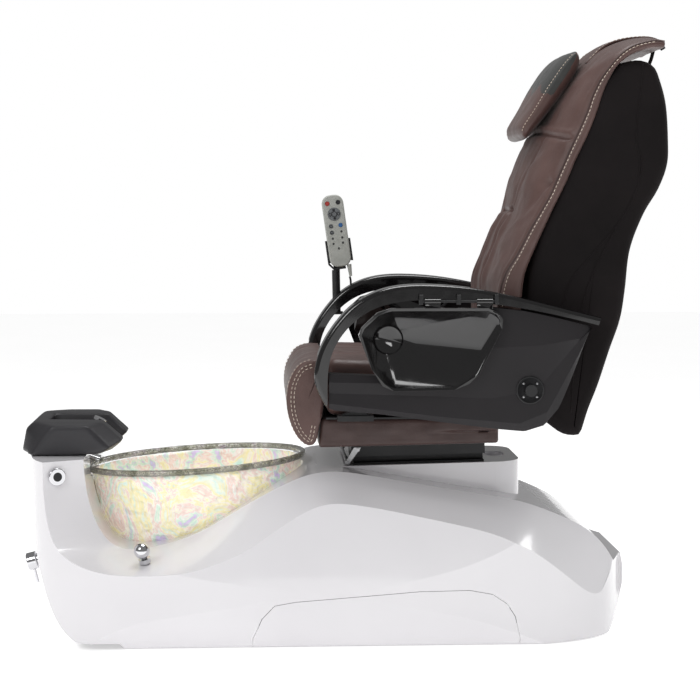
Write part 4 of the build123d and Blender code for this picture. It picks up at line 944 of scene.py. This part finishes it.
def make_arms():
    for side, name in ((-1, "left"), (1, "right")):
        make_side_panel(side, name)
        dressed("tray_" + name, piano, "tray_" + name, "black_gloss")


# ---------------------------------------------------------------- remote control
def on_handset(across, up, out):
    lean = math.radians(8)
    return (Vector((16, 296, 896)) + Vector((math.cos(lean), 0, math.sin(lean))) * across
            + Vector((-math.sin(lean), 0, math.cos(lean))) * up + Vector((0, -1, 0)) * out)


def handset_ring(name, across, up, radius, thick, material, body, slot, out=12.2, stretch=1.0):
    path = [on_handset(across + radius * math.cos(a), up + radius * stretch * math.sin(a), out)
            for a in (math.tau * k / 40 for k in range(40))]
    place(ring_tube(name, path, thick, material, 8, closed=True), body, slot)


def make_handset_details():
    handset_ring("pad_ring", 0, 42, 6.5, 0.9, key_dark, "key_pad", "key_dark", 12.4)
    for k, (across, up) in enumerate(((-10.6, 42), (10.6, 42))):
        handset_ring(f"pad_side_{k}", across, up, 2.6, 0.8, key_dark, "key_pad", "key_dark", 12.4, 1.6)
    for k, (across, up) in enumerate(((0, 52.6), (0, 31.4))):
        handset_ring(f"pad_end_{k}", across, up, 2.3, 1.3, key_dark, "key_pad", "key_dark", 12.4, 0.7)
    for key, across, up in (("stop", 13.5, 70), ("mode", -12, 13), ("zone", -12, -3)):
        handset_ring(key + "_ring", across, up, 3.2, 0.7, key_dark, "key_" + key, "key_dark", 12.4)
    for k, (across, up) in enumerate(((12, -3), (-12, -18), (12, -18), (-12, -31), (12, -31), (0, -44))):
        handset_ring(f"status_dot_{k}", across, up, 1.6, 1.3, key_dark, "remote", "key_dark", 10.7)


# ---------------------------------------------------------------- stage and light
def make_stage():
    size = 12.0
    reach = size / MM
    corners = [(-reach, -reach, 0), (reach, -reach, 0), (reach, reach, 0), (-reach, reach, 0)]
    floor = mesh_object("floor", corners, [(0, 1, 2, 3)], None)
    pale = new_material("pale_floor", (0.93, 0.93, 0.93), 0.7, Specular_IOR_Level=0.1, Emission_Strength=0.42)
    pale.node_tree.nodes["Principled BSDF"].inputs["Emission Color"].default_value = (1, 1, 1, 1)
    vary(pale, 2.0, [(0.3, (0.92, 0.92, 0.92)), (0.7, (0.94, 0.94, 0.94))])
    floor.data.materials[0] = pale
    world = bpy.data.worlds.new("studio")
    bpy.context.scene.world = world
    world.use_nodes = True
    tree = world.node_tree
    paths = tree.nodes.new("ShaderNodeLightPath")
    glossy = tree.nodes.new("ShaderNodeMix")
    glossy.inputs["A"].default_value, glossy.inputs["B"].default_value = 0.62, 0.22
    seen = tree.nodes.new("ShaderNodeMix")
    seen.inputs["B"].default_value = 1.0
    tree.links.new(paths.outputs["Is Glossy Ray"], glossy.inputs["Factor"])
    tree.links.new(paths.outputs["Is Camera Ray"], seen.inputs["Factor"])
    tree.links.new(glossy.outputs["Result"], seen.inputs["A"])
    tree.links.new(seen.outputs["Result"], tree.nodes["Background"].inputs["Strength"])
    tree.nodes["Background"].inputs["Color"].default_value = (1, 1, 1, 1)
    lamps = (
        ("key_light", (-2.6, -3.4, 3.2), (0.0, 0.0, 0.7), 1.6, 46),
        ("top_light", (0.2, 0.3, 3.6), (0.1, 0.0, 0.5), 1.6, 40),
        ("rear_light", (2.8, 1.8, 2.4), (0.2, 0.0, 0.8), 1.2, 22),
    )
    for name, place_at, target, size, watts in lamps:
        data = bpy.data.lights.new(name, "AREA")
        data.size = size
        data.energy = watts
        lamp = bpy.data.objects.new(name, data)
        bpy.context.scene.collection.objects.link(lamp)
        lamp.location = place_at
        lamp.rotation_euler = (Vector(target) - Vector(place_at)).to_track_quat("-Z", "Y").to_euler()
    bpy.context.scene.view_settings.view_transform = "Standard"


dress_kept_parts()
cord.data.materials.append(rubber)
make_footrest()
make_bowl()
make_seat()
make_back_cushion()
make_back_cover()
make_pillow()
make_flap()
make_arms()
make_handset_details()
make_stage()
